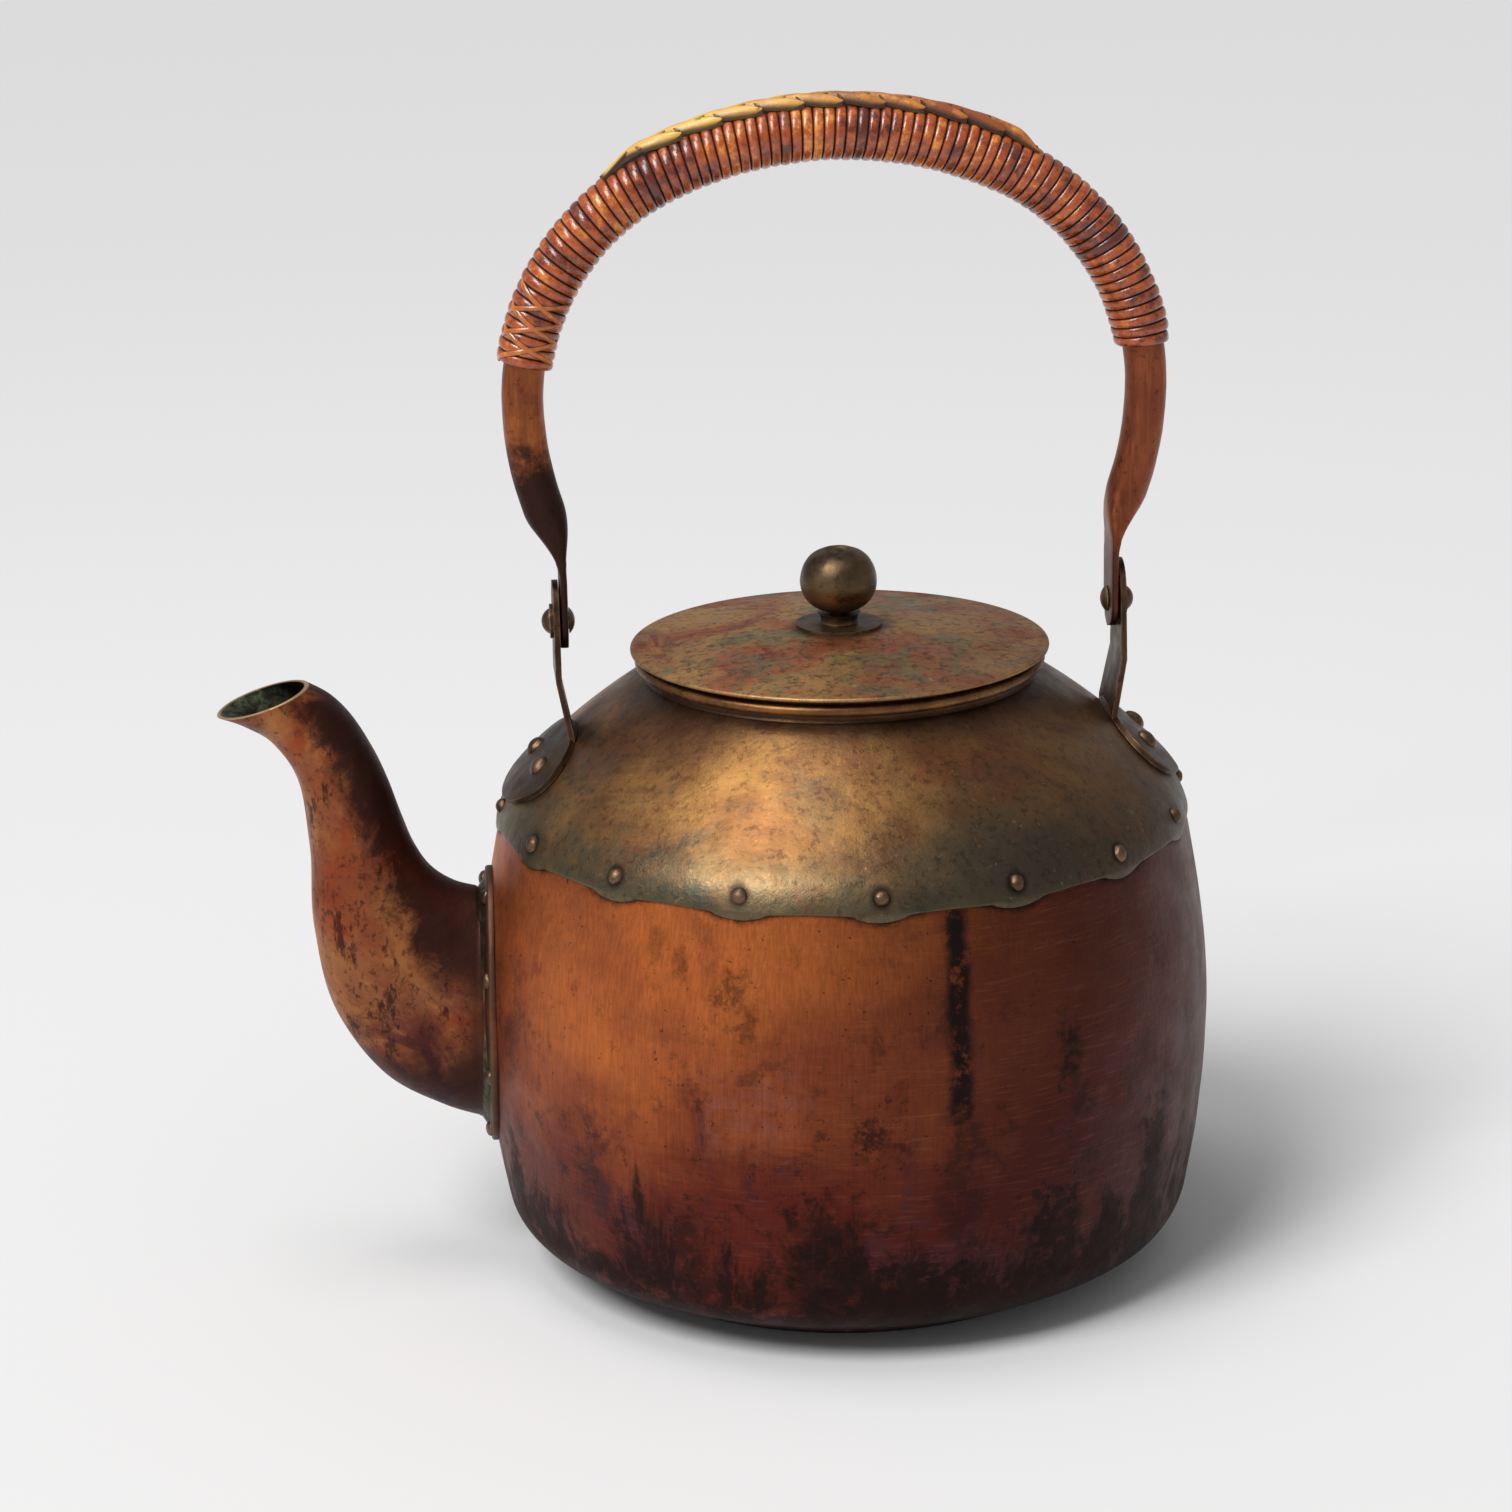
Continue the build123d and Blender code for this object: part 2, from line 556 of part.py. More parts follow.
def knob():
    """A flattened ball with a shallow dimple in its top."""
    flat = COLLAR_R
    dimple_r = 3.6
    edges = [
        Line((0, KNOB_LOW_Z), (flat, KNOB_LOW_Z)),
        ThreePointArc((flat, KNOB_LOW_Z), (KNOB_R - 1.15, KNOB_LOW_Z + 3.3), (KNOB_R, KNOB_MID_Z)),
        ThreePointArc((KNOB_R, KNOB_MID_Z), (KNOB_R * 0.74, KNOB_MID_Z + 6.1), (dimple_r, KNOB_TOP_Z)),
        ThreePointArc((dimple_r, KNOB_TOP_Z), (dimple_r / 2, KNOB_TOP_Z - 0.6), (0, KNOB_TOP_Z - 0.8)),
        Line((0, KNOB_TOP_Z - 0.8), (0, KNOB_LOW_Z)),
    ]
    return spin(edges) - stem_hole(160, 190)


def knob_stem():
    """The long rivet through knob, collar, boss and lid, peened at both ends."""
    under = crown_z(0, -LID_WALL / 2)
    burr = Pos(0, 0, under) * Cylinder(5.0, 1.2, align=(Align.CENTER, Align.CENTER, Align.MAX))
    burr = burr - lid_sheet(-LID_WALL / 2, 20, LID_R)
    bar = stem_hole(under - 1.2, KNOB_TOP_Z - 1.0)
    return bar + burr + Pos(0, 0, KNOB_TOP_Z - 1.0) * dome(KNOB_STEM_R, 0.8)


# ---- put it together ------------------------------------------------------------
def both_sides(name, shape):
    return {name + "_right": shape, name + "_left": mirror(shape, Plane.YZ)}


def build():
    parts = {}
    core = body_core()
    outer_core = core + shoulder_blank()
    body = body_blank()
    shoulder = shoulder_blank()

    # The riveted row that joins the shoulder to the body.
    seat = side_point(SHOULDER_WALL, RIVET_DEG)
    row_plane = surface_plane(0, seat[0], seat[1], RIVET_DEG)
    row_grip = SHOULDER_WALL + BODY_WALL
    row_rivet = rivet(row_plane, row_grip, 1.95, 1.5, 1.2, [body, shoulder])
    pitch = 360.0 / RIVET_COUNT
    row = [Rot(0, 0, pitch * k) * row_rivet for k in range(RIVET_COUNT)]
    row_shanks = [Rot(0, 0, pitch * k) * shank(row_plane, 1.2, row_grip) for k in range(RIVET_COUNT)]
    parts["shoulder_rivets"] = Compound(children=row)

    # The spout's rivets, through its flange and the body.
    lip = flange_sheet()
    spout_planes = spout_rivet_planes()
    spout_grip = SPOUT_WALL + BODY_WALL
    parts["spout_rivets"] = Compound(children=[
        rivet(plane, spout_grip, 2.1, 1.4, 1.2, [body, lip]) for plane in spout_planes])
    spout_shanks = [shank(plane, 1.2, spout_grip) for plane in spout_planes]

    # The ears, their rivets through the shoulder, and the pivots.
    foot_sheet = band(SHOULDER_WALL, SHOULDER_WALL + EAR_WALL, FLANK_END + 1, DOME_END - 1)
    ear_seat = side_point(SHOULDER_WALL + EAR_WALL, FOOT_DEG)
    ear_grip = SHOULDER_WALL + EAR_WALL
    ear_planes = [surface_plane(spread, ear_seat[0], ear_seat[1], FOOT_DEG)
                  for spread in (-EAR_RIVET_SPREAD, EAR_RIVET_SPREAD)]
    ear_shanks = [shank(plane, 1.6, ear_grip) for plane in ear_planes]
    ear_rivets = [rivet(plane, ear_grip, 2.8, 1.9, 1.6, [shoulder, foot_sheet]) for plane in ear_planes]
    ear = ear_foot() + ear_strap(outer_core) - ear_shanks - pivot_hole(PIVOT_R, 60, 80)
    parts.update(both_sides("ear", ear))
    parts.update(both_sides("ear_rivets", Compound(children=ear_rivets)))
    parts.update(both_sides("pivot_washer", pivot_washer()))
    parts.update(both_sides("pivot_rivet", pivot_rivet()))

    mirrored_shanks = [mirror(bar, Plane.YZ) for bar in ear_shanks]
    parts["body_shell"] = body - row_shanks - spout_shanks - spout_oval(24, 13, -70, -110)
    parts["shoulder"] = shoulder - scallop_cutters() - row_shanks - ear_shanks - mirrored_shanks
    parts["neck_bead"] = Pos(0, 0, BEAD_Z) * Torus(NECK_R + 0.8, BEAD_R) - shoulder
    parts["spout"] = spout(core) - spout_shanks

    parts["bail_tube"] = bail_tube()
    parts["cane_wrap"] = cane_wrap()
    parts["cane_braid"] = cane_braid()

    parts["lid_plate"] = lid_sheet(-LID_WALL / 2, LID_WALL / 2, LID_R) - stem_hole(150, 180)
    parts["lid_skirt"] = lid_skirt()
    parts["knob_boss"] = knob_boss()
    parts["knob_collar"] = knob_collar()
    parts["knob"] = knob()
    parts["knob_stem"] = knob_stem()
    return parts


def main():
    os.makedirs("parts", exist_ok=True)
    for name, shape in build().items():
        export_step(shape, "parts/" + name + ".step")
        print(name, round(shape.volume, 1))


main()
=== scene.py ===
import random
from math import acos, asin, atan2, copysign, cos, degrees, hypot, pi, radians, sin, sqrt

import bmesh
import bpy
from mathutils import Matrix, Vector, noise as perlin


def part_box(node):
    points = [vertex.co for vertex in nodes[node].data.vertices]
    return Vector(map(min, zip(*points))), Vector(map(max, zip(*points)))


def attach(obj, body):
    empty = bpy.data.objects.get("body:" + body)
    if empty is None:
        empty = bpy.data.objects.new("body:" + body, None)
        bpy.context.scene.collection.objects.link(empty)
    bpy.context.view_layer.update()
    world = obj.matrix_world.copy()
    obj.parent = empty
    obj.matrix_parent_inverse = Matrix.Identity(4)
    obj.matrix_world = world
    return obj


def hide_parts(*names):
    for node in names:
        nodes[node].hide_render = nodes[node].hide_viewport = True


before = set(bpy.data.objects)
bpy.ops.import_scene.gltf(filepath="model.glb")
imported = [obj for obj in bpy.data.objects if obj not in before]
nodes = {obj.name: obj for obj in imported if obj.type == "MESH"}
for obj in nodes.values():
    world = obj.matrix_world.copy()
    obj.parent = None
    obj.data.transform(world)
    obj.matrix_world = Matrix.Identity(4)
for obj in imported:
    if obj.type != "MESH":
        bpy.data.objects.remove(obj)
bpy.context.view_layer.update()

# The looks of the copper kettle: patinated, dented copper, cane winding and a
# plaited strip on the bail. Shapes are worked out in millimetres, in the frame of
# the CAD, and turned into metres when a mesh is made.
MM = 0.001
chance = random.Random(11)


# ---- sizes, in millimetres ----
def cad_size(node, corner, axis):
    """A coordinate of a CAD node's box, in millimetres."""
    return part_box(node)[corner][axis] / MM


BELLY_R = 95.0
BELLY_Z = 68.0
BODY_WALL = 1.2
SHOULDER_WALL = 1.0
LOWER_ARC, LOWER_END = 250.0, -11.5
CORNER_ARC, CORNER_END = 13.0, -62.0
FLANK_ARC, FLANK_END = 195.0, 15.0
BEND_ARC, BEND_END = 22.0, 44.0
DOME_ARC, DOME_END = 170.0, 58.3
BODY_TOP = 38.0
RIVET_COUNT = 16
RIVET_TURN = 25.8
SCALLOP_LOW_Z = 117.1
SCALLOP_HIGH_Z = 120.9
NECK_R, NECK_WALL = 50.2, 1.0
NECK_IN = NECK_R - NECK_WALL
NECK_TOP = cad_size("shoulder", 1, 2)
LID_R = cad_size("lid_plate", 1, 0)
LID_LOW = cad_size("lid_plate", 0, 2)
LID_TOP = cad_size("lid_plate", 1, 2)
LID_WALL = 1.1
KNOB_LOW = cad_size("knob", 0, 2)
KNOB_TOP = cad_size("knob", 1, 2)
KNOB_R = cad_size("knob", 1, 1)
KNOB_MIDDLE = 178.5
PIVOT_Z = 171.2
TAB_X = 70.25
EAR_TURN = 46.8
EAR_SPREAD = 6.5
SPOUT_Z = 69.0
SPOUT_HALF_HEIGHT, SPOUT_HALF_WIDTH = 30.6, 17.0
SPOUT_FLANGE, SPOUT_WALL = 6.5, 1.2
HOLE_HALF_HEIGHT, HOLE_HALF_WIDTH = 24, 13


# ---- arcs of the body's side ----
def on_arc(centre, radius, turn):
    angle = radians(turn)
    return (centre[0] + radius * cos(angle), centre[1] + radius * sin(angle))


def tangent_centre(centre, radius, turn, new_radius):
    x, z = on_arc(centre, radius, turn)
    angle = radians(turn)
    return (x - new_radius * cos(angle), z - new_radius * sin(angle))


FLANK_C = (BELLY_R - FLANK_ARC, BELLY_Z)
BEND_C = tangent_centre(FLANK_C, FLANK_ARC, FLANK_END, BEND_ARC)
DOME_C = tangent_centre(BEND_C, BEND_ARC, BEND_END, DOME_ARC)
LOWER_C = (BELLY_R - LOWER_ARC, BELLY_Z)
CORNER_C = tangent_centre(LOWER_C, LOWER_ARC, LOWER_END, CORNER_ARC)


def side_point(offset, turn):
    """A point of the side, as (radius, height), where its normal has this turn."""
    if turn < LOWER_END:
        return on_arc(CORNER_C, CORNER_ARC + offset, turn)
    if turn < 0:
        return on_arc(LOWER_C, LOWER_ARC + offset, turn)
    if turn <= FLANK_END:
        return on_arc(FLANK_C, FLANK_ARC + offset, turn)
    if turn <= BEND_END:
        return on_arc(BEND_C, BEND_ARC + offset, turn)
    return on_arc(DOME_C, DOME_ARC + offset, turn)


def side_radius(height, offset):
    """Radius of the body's side at a height between the corner and the shoulder."""
    if height < BELLY_Z:
        rise = (height - LOWER_C[1]) / (LOWER_ARC + offset)
        return LOWER_C[0] + (LOWER_ARC + offset) * sqrt(1 - rise ** 2)
    rise = (height - FLANK_C[1]) / (FLANK_ARC + offset)
    return FLANK_C[0] + (FLANK_ARC + offset) * sqrt(1 - rise ** 2)


def steps(start, end, count):
    """Evenly spaced numbers from start to end, both included."""
    return [start + (end - start) * k / count for k in range(count + 1)]


def smooth(value, low, high):
    """0 below low, 1 above high, and a smooth rise between."""
    share = min(1.0, max(0.0, (value - low) / (high - low)))
    return share * share * (3 - 2 * share)


# ---- making meshes ----
def ring(cols):
    """Evenly spaced angles of one full turn."""
    return [2 * pi * col / cols for col in range(cols)]


def around(radius, angle, height):
    """The point at a radius and an angle about Z."""
    return (radius * cos(angle), radius * sin(angle), height)


def caps(first, end, cols):
    """The two end faces of a tube whose points run from first up to end."""
    return [tuple(range(first, first + cols)), tuple(reversed(range(end - cols, end)))]


def add_object(name, data):
    """A new object of the scene that holds a mesh, a lamp or a lens."""
    made = bpy.data.objects.new(name, data)
    bpy.context.collection.objects.link(made)
    return made


def make_piece(name, verts, faces, material, body, replaced=(), sharp=40, colours=None):
    """A mesh object from points in millimetres, riding on a body."""
    mesh = bpy.data.meshes.new(name)
    mesh.from_pydata([(x * MM, y * MM, z * MM) for x, y, z in verts], [], faces)
    if colours:
        layer = mesh.color_attributes.new("tone", "FLOAT_COLOR", "POINT")
        for k, colour in enumerate(colours):
            layer.data[k].color = colour
    work = bmesh.new()
    work.from_mesh(mesh)
    bmesh.ops.remove_doubles(work, verts=work.verts, dist=1e-7)
    bmesh.ops.recalc_face_normals(work, faces=work.faces)
    for face in work.faces:
        face.smooth = True
    work.to_mesh(mesh)
    work.free()
    mesh.set_sharp_from_angle(angle=radians(sharp))
    mesh.materials.append(material)
    piece = add_object(name, mesh)
    if replaced:
        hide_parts(*replaced)
    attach(piece, body)
    return piece


def grid_faces(rows, cols, first=0, close_rows=False, close_cols=True):
    """Quads between the points of a grid, stored row by row."""
    faces = []
    for row in range(rows if close_rows else rows - 1):
        below = first + (row + 1) % rows * cols
        above = first + row * cols
        for col in range(cols if close_cols else cols - 1):
            after = (col + 1) % cols
            faces.append((above + col, above + after, below + after, below + col))
    return faces


def dent(point, depth, size, seed=0.0):
    """How far hand work and use have pushed the metal in at a point."""
    place = Vector(point) / size + Vector((seed, seed * 2, seed * 3))
    coarse = perlin.noise(place)
    fine = perlin.noise(place * 3.1)
    return depth * (0.5 + 0.38 * coarse + 0.12 * fine)


def lathe(outline, cols, push=None):
    """Points and faces of an outline turned about Z. push gives an inward shift."""
    verts = []
    for radius, height in outline:
        for angle in ring(cols):
            shift = push(*around(radius, angle, height)) if push and radius > 1 else 0.0
            verts.append(around(radius - shift, angle, height))
    return verts, grid_faces(len(outline), cols, close_rows=True)


# ---- materials ----
def srgb(red, green, blue):
    """A colour given as seen on a screen, 0 to 255, as linear RGBA."""
    def linear(level):
        level = level / 255
        return level / 12.92 if level <= 0.04045 else ((level + 0.055) / 1.055) ** 2.4
    return (linear(red), linear(green), linear(blue), 1.0)


class Shade:
    """A node material under construction, in short calls."""

    def __init__(self, name):
        self.material = bpy.data.materials.new(name)
        self.material.use_nodes = True
        self.tree = self.material.node_tree
        self.shader = self.tree.nodes["Principled BSDF"]
        self.place = self.node("TexCoord").outputs["Object"]
        self.x, self.y, self.z = self.split("SeparateXYZ", self.place)
        self.colour = None

    def node(self, kind, sockets=None, **settings):
        """A new node with its settings made and its named sockets fed."""
        made = self.tree.nodes.new("ShaderNode" + kind)
        for key, value in settings.items():
            setattr(made, key, value)
        for key, value in (sockets or {}).items():
            self.feed(made.inputs[key], value)
        return made

    def join(self, source, target):
        self.tree.links.new(source, target)

    def split(self, kind, source):
        """The three parts of a vector or a colour."""
        made = self.node(kind)
        self.join(source, made.inputs[0])
        return made.outputs

    def tones(self):
        """The three marks that a mesh carries in its tone layer."""
        tone = self.node("Attribute", attribute_name="tone")
        return self.split("SeparateColor", tone.outputs["Color"])

    def feed(self, target, value):
        """A socket takes either a number, a colour or another node's output."""
        if isinstance(value, bpy.types.NodeSocket):
            self.join(value, target)
        else:
            target.default_value = value

    def times(self, first, second):
        return self.math("MULTIPLY", first, second)

    def plus(self, first, second):
        return self.math("ADD", first, second)

    def math(self, kind, first, second=0.0, third=0.0):
        made = self.node("Math", operation=kind)
        for socket, value in zip(made.inputs, (first, second, third)):
            self.feed(socket, value)
        return made.outputs[0]

    def scaled(self, x, y, z):
        """Object coordinates stretched along each axis."""
        made = self.node("VectorMath", operation="MULTIPLY")
        self.join(self.place, made.inputs[0])
        made.inputs[1].default_value = (x, y, z)
        return made.outputs[0]

    def noise(self, scale, detail=4.0, roughness=0.55, where=None, twist=0.0):
        sockets = {"Vector": where or self.place, "Scale": scale, "Detail": detail,
                   "Roughness": roughness, "Distortion": twist}
        return self.node("TexNoise", sockets).outputs["Fac"]

    def cells(self, scale):
        """Round hollows, for the marks of a hammer."""
        sockets = {"Vector": self.place, "Scale": scale}
        return self.node("TexVoronoi", sockets, feature="SMOOTH_F1").outputs["Distance"]

    def ease(self, value, low, high, start=0.0, end=1.0):
        """Smoothly from start to end as value goes from low to high."""
        sockets = {"Value": value, "From Min": low, "From Max": high, "To Min": start, "To Max": end}
        return self.node("MapRange", sockets, interpolation_type="SMOOTHSTEP").outputs["Result"]

    def mix(self, share, first, second):
        made = self.node("Mix", data_type="RGBA")
        self.feed(made.inputs["Factor"], share)
        self.feed(made.inputs[6], first)
        self.feed(made.inputs[7], second)
        return made.outputs[2]

    def paint(self, share, colour):
        """Lays a colour over what is there, by a share or a mask."""
        self.colour = self.mix(share, self.colour, colour)

    def bump(self, height, depth, below=None):
        """Relief of a depth in metres, on top of the relief below."""
        sockets = {"Strength": 1.0, "Distance": depth, "Height": height}
        if below:
            sockets["Normal"] = below
        return self.node("Bump", sockets).outputs["Normal"]

    def spots(self, scale, detail, roughness, low, high, start=0.0, end=1.0, twist=0.0):
        """Noise that goes from start to end as it rises from low to high."""
        return self.ease(self.noise(scale, detail, roughness, twist=twist), low, high, start, end)

    def shift(self, amount, scale, detail, roughness, twist=0.0):
        """Noise about zero, up to half an amount either way."""
        cloud = self.noise(scale, detail, roughness, twist=twist)
        return self.math("MULTIPLY_ADD", cloud, amount, -amount / 2)

    def along(self, azimuth):
        """Distance of the point along a level direction, in metres."""
        made = self.node("VectorMath", operation="DOT_PRODUCT")
        self.join(self.place, made.inputs[0])
        angle = radians(azimuth)
        made.inputs[1].default_value = (cos(angle), sin(angle), 0.0)
        return made.outputs["Value"]

    def finish(self, roughness, normal, metallic):
        self.join(self.colour, self.shader.inputs["Base Color"])
        self.feed(self.shader.inputs["Roughness"], roughness)
        self.feed(self.shader.inputs["Metallic"], metallic)
        self.join(normal, self.shader.inputs["Normal"])
        return self.material


def stain(shade, azimuth, low, high, width, strength, ragged=1.0):
    """A mask for a mark on the side, at an azimuth, between two heights."""
    across = shade.along(azimuth + 90)
    out = shade.along(azimuth)
    bent = shade.shift(2.2 * width * ragged, 70, 5, 0.65)
    off = shade.math("ABSOLUTE", shade.plus(across, bent))
    side = shade.ease(off, 0.35 * width, 1.1 * width, 1.0, 0.0)
    torn = shade.shift(0.03 * ragged, 260, 6, 0.7)
    height = shade.plus(shade.z, torn)
    top = shade.ease(height, high - 0.006, high + 0.004, 1.0, 0.0)
    base = shade.ease(height, low - 0.004, low + 0.006)
    front = shade.ease(out, 0.0, 0.03, 0.0, strength)
    mask = shade.times(shade.times(side, top), shade.times(base, front))
    breakup = shade.spots(230, 6, 0.72, 0.34, 0.5)
    return shade.times(mask, breakup)


def patch(shade, azimuth, low, high, width, strength):
    """A broad soft mask for a change of colour, between two heights."""
    drift = shade.shift(0.05, 32, 6, 0.65, twist=0.6)
    off = shade.math("ABSOLUTE", shade.plus(shade.along(azimuth + 90), drift))
    side = shade.ease(off, 0.2 * width, 1.2 * width, strength, 0.0)
    level = shade.plus(shade.z, shade.times(drift, 0.7))
    span = 0.35 * (high - low)
    top = shade.ease(level, high - span, high + span, 1.0, 0.0)
    base = shade.ease(level, low - span, low + span)
    front = shade.ease(shade.along(azimuth), 0.0, 0.03)
    return shade.times(shade.times(side, front), shade.times(top, base))


def most(shade, masks):
    """The strongest of several masks at each point."""
    result = masks[0]
    for mask in masks[1:]:
        result = shade.math("MAXIMUM", result, mask)
    return result


def body_copper():
    """Copper that the fire has turned orange, red, purple and, low down, black."""
    shade = Shade("body_copper")
    height = shade.z
    soot_and_shade = srgb(30, 18, 15)
    cloud = shade.noise(18, 7, 0.62, twist=0.5)
    shade.colour = shade.mix(shade.ease(cloud, 0.38, 0.62), srgb(196, 108, 52), srgb(162, 84, 48))
    sunk = shade.shift(0.09, 24, 6, 0.62, twist=0.4)
    level = shade.plus(height, sunk)
    shade.paint(shade.ease(level, 0.040, 0.094, 0.95, 0.0), srgb(92, 28, 22))
    # Painted shade: the side away from the spout, and away from the lamps, is painted darker.
    shade.paint(shade.ease(shade.along(-15), -0.03, 0.075, 0.0, 0.95), srgb(58, 20, 16))
    haze = patch(shade, -111, 0.060, 0.080, 0.014, 0.4)
    haze = shade.times(haze, shade.spots(240, 6, 0.75, 0.4, 0.6))
    shade.paint(haze, srgb(146, 92, 82))
    bruise = shade.spots(30, 9, 0.72, 0.50, 0.62, twist=0.7)
    lower = shade.ease(height, 0.035, 0.105, 1.0, 0.12)
    shade.paint(shade.times(bruise, lower), srgb(74, 34, 36))
    # Fine upright and level brush marks.
    brushed = shade.noise(1.0, 5, 0.65, where=shade.scaled(1500, 1500, 55))
    shade.paint(shade.ease(brushed, 0.34, 0.66, 0.26, 0.0), srgb(66, 30, 24))
    level_marks = shade.noise(1.0, 4, 0.65, where=shade.scaled(110, 110, 1500))
    shade.paint(shade.ease(level_marks, 0.5, 0.75, 0.0, 0.07), srgb(208, 138, 92))
    # Dark mottling, stronger low down.
    mottle = shade.spots(95, 10, 0.76, 0.53, 0.63)
    mottle = shade.times(mottle, shade.ease(height, 0.02, 0.12, 0.8, 0.18))
    shade.paint(mottle, soot_and_shade)
    speck = shade.spots(620, 3, 0.6, 0.65, 0.72, 0.0, 0.7)
    shade.paint(speck, soot_and_shade)
    # Marks in their own places: azimuth, low, high, half width, strength, raggedness.
    marks = [
        (-78.7, 0.066, 0.121, 0.0042, 1.0, 0.7), (-78.0, 0.020, 0.070, 0.0060, 0.5, 1.5),
        (-90.5, 0.060, 0.069, 0.0060, 0.9, 1.6), (-90.9, 0.084, 0.088, 0.0022, 0.9, 1.0),
        (-126.0, 0.105, 0.111, 0.0030, 0.6, 1.2), (-121.3, 0.101, 0.108, 0.0028, 0.7, 1.2),
        (-113.5, 0.094, 0.103, 0.0055, 0.7, 1.4), (-110.8, 0.088, 0.096, 0.0040, 0.65, 1.4),
        (-60.6, 0.072, 0.084, 0.0055, 0.85, 1.4), (-57.8, 0.062, 0.070, 0.0040, 0.7, 1.4),
        (-120.5, 0.004, 0.042, 0.0080, 0.7, 1.8), (-100.0, 0.004, 0.046, 0.0120, 0.75, 1.8),
        (-84.0, 0.002, 0.030, 0.0280, 0.95, 1.3), (-62.3, 0.004, 0.042, 0.0100, 0.9, 1.7),
        (-40.0, 0.010, 0.055, 0.0080, 0.8, 1.5), (60.0, 0.010, 0.050, 0.0090, 0.8, 1.5),
        (100.0, 0.010, 0.070, 0.0080, 0.8, 1.5), (140.0, 0.008, 0.045, 0.0100, 0.8, 1.5),
    ]
    masks = [stain(shade, *mark) for mark in marks]
    reach = shade.noise(1.0, 8, 0.7, where=shade.scaled(46, 46, 20), twist=0.5)
    reach = shade.math("MULTIPLY_ADD", reach, 0.150, -0.046)
    sooty = shade.ease(shade.math("SUBTRACT", height, reach), -0.008, 0.010, 0.9, 0.0)
    sooty = shade.times(sooty, shade.spots(150, 8, 0.75, 0.36, 0.5, 0.35, 1.0))
    ring = shade.ease(height, 0.006, 0.014, 0.92, 0.0)
    # Soot marks and the painted shadow under the shoulder's edge share one dark colour.
    dark = most(shade, masks + [sooty, ring, scallop_shadow(shade)])
    shade.paint(dark, soot_and_shade)
    chalk = shade.spots(340, 6, 0.72, 0.60, 0.67)
    chalk = shade.times(chalk, shade.ease(height, 0.002, 0.010, 0.75, 0.0))
    shade.paint(chalk, srgb(176, 164, 150))
    rough = shade.spots(90, 6, 0.65, 0.3, 0.7, 0.37, 0.5)
    rough = shade.plus(rough, shade.times(dark, 0.2))
    rough = shade.plus(rough, shade.times(brushed, 0.06))
    hammered = shade.bump(shade.cells(95), 0.00035)
    worn = shade.bump(shade.noise(420, 6, 0.7), 0.00014, hammered)
    lines = shade.bump(brushed, 0.00005, worn)
    return shade.finish(rough, lines, 0.88)


def scallop_shadow(shade):
    """Painted shadow on the body just under the shoulder's wavy edge."""
    angle = shade.math("ARCTAN2", shade.y, shade.x)
    wave = shade.math("COSINE", shade.times(angle, float(RIVET_COUNT)))
    swing = (SCALLOP_HIGH_Z - SCALLOP_LOW_Z) / 2 * MM
    middle = (SCALLOP_HIGH_Z + SCALLOP_LOW_Z) / 2 * MM
    edge = shade.math("MULTIPLY_ADD", wave, -swing, middle)
    under = shade.math("SUBTRACT", shade.z, edge)
    under = shade.plus(under, shade.shift(0.004, 300, 5, 0.7))
    return shade.ease(under, -0.0022, 0.0002, 0.0, 0.85)


def spout_copper():
    """The spout's copper: tan where it is rubbed, purple and black where it is not, and painted shade,
    nearly black, on the inner curve.
    """
    shade = Shade("spout_copper")
    height = shade.z
    side = shade.x
    bore, rubbed_rim, root = shade.tones()
    cloud = shade.noise(34, 7, 0.65, twist=0.6)
    shade.colour = shade.mix(shade.ease(cloud, 0.36, 0.62), srgb(172, 112, 66), srgb(142, 76, 46))
    warm = shade.spots(48, 6, 0.65, 0.5, 0.66, 0.0, 0.8, twist=0.6)
    shade.paint(warm, srgb(150, 66, 34))
    purple = shade.spots(40, 8, 0.7, 0.46, 0.6, twist=0.9)
    low = shade.ease(height, 0.055, 0.09, 1.0, 0.25)
    shade.paint(shade.times(purple, low), srgb(92, 40, 42))
    # Painted shade: the inner curve, towards the body, is painted nearly black.
    inner = shade.math("SUBTRACT", side, shade.math("MULTIPLY_ADD", height, -0.42, -0.078))
    ragged = shade.shift(0.040, 75, 9, 0.74, twist=0.5)
    shaded = shade.ease(shade.plus(inner, ragged), -0.001, 0.010, 0.0, 0.9)
    shaded = shade.times(shaded, shade.ease(height, 0.072, 0.086))
    streaked = shade.noise(1.0, 8, 0.74, where=shade.scaled(170, 170, 70))
    blotch = shade.ease(streaked, 0.53, 0.61, 0.0, 0.8)
    belly = shade.plus(height, shade.shift(0.05, 55, 8, 0.7))
    belly = shade.ease(belly, 0.050, 0.078, 0.9, 0.0)
    under = shade.ease(side, -0.152, -0.143, 0.5, 0.0)
    under = shade.times(under, shade.spots(110, 6, 0.7, 0.4, 0.55))
    dark = most(shade, [shaded, blotch, belly, under])
    shade.paint(dark, srgb(40, 22, 24))
    pits = shade.spots(430, 6, 0.75, 0.53, 0.64, 0.0, 0.7)
    shade.paint(pits, srgb(58, 32, 26))
    foot = shade.times(root, 0.75)
    foot = shade.times(foot, shade.spots(160, 6, 0.7, 0.25, 0.5, 0.65, 1.0))
    shade.paint(foot, srgb(58, 32, 25))
    verdigris = shade.mix(shade.spots(210, 6, 0.7, 0.42, 0.6), srgb(38, 40, 32), srgb(86, 92, 66))
    shade.paint(bore, verdigris)
    shade.paint(shade.times(rubbed_rim, 0.85), srgb(206, 168, 128))
    rough = shade.spots(120, 6, 0.65, 0.3, 0.7, 0.36, 0.52)
    rough = shade.plus(rough, shade.times(dark, 0.08))
    hammered = shade.bump(shade.cells(120), 0.00025)
    normal = shade.bump(shade.noise(380, 7, 0.72), 0.00016, hammered)
    return shade.finish(rough, normal, 0.88)


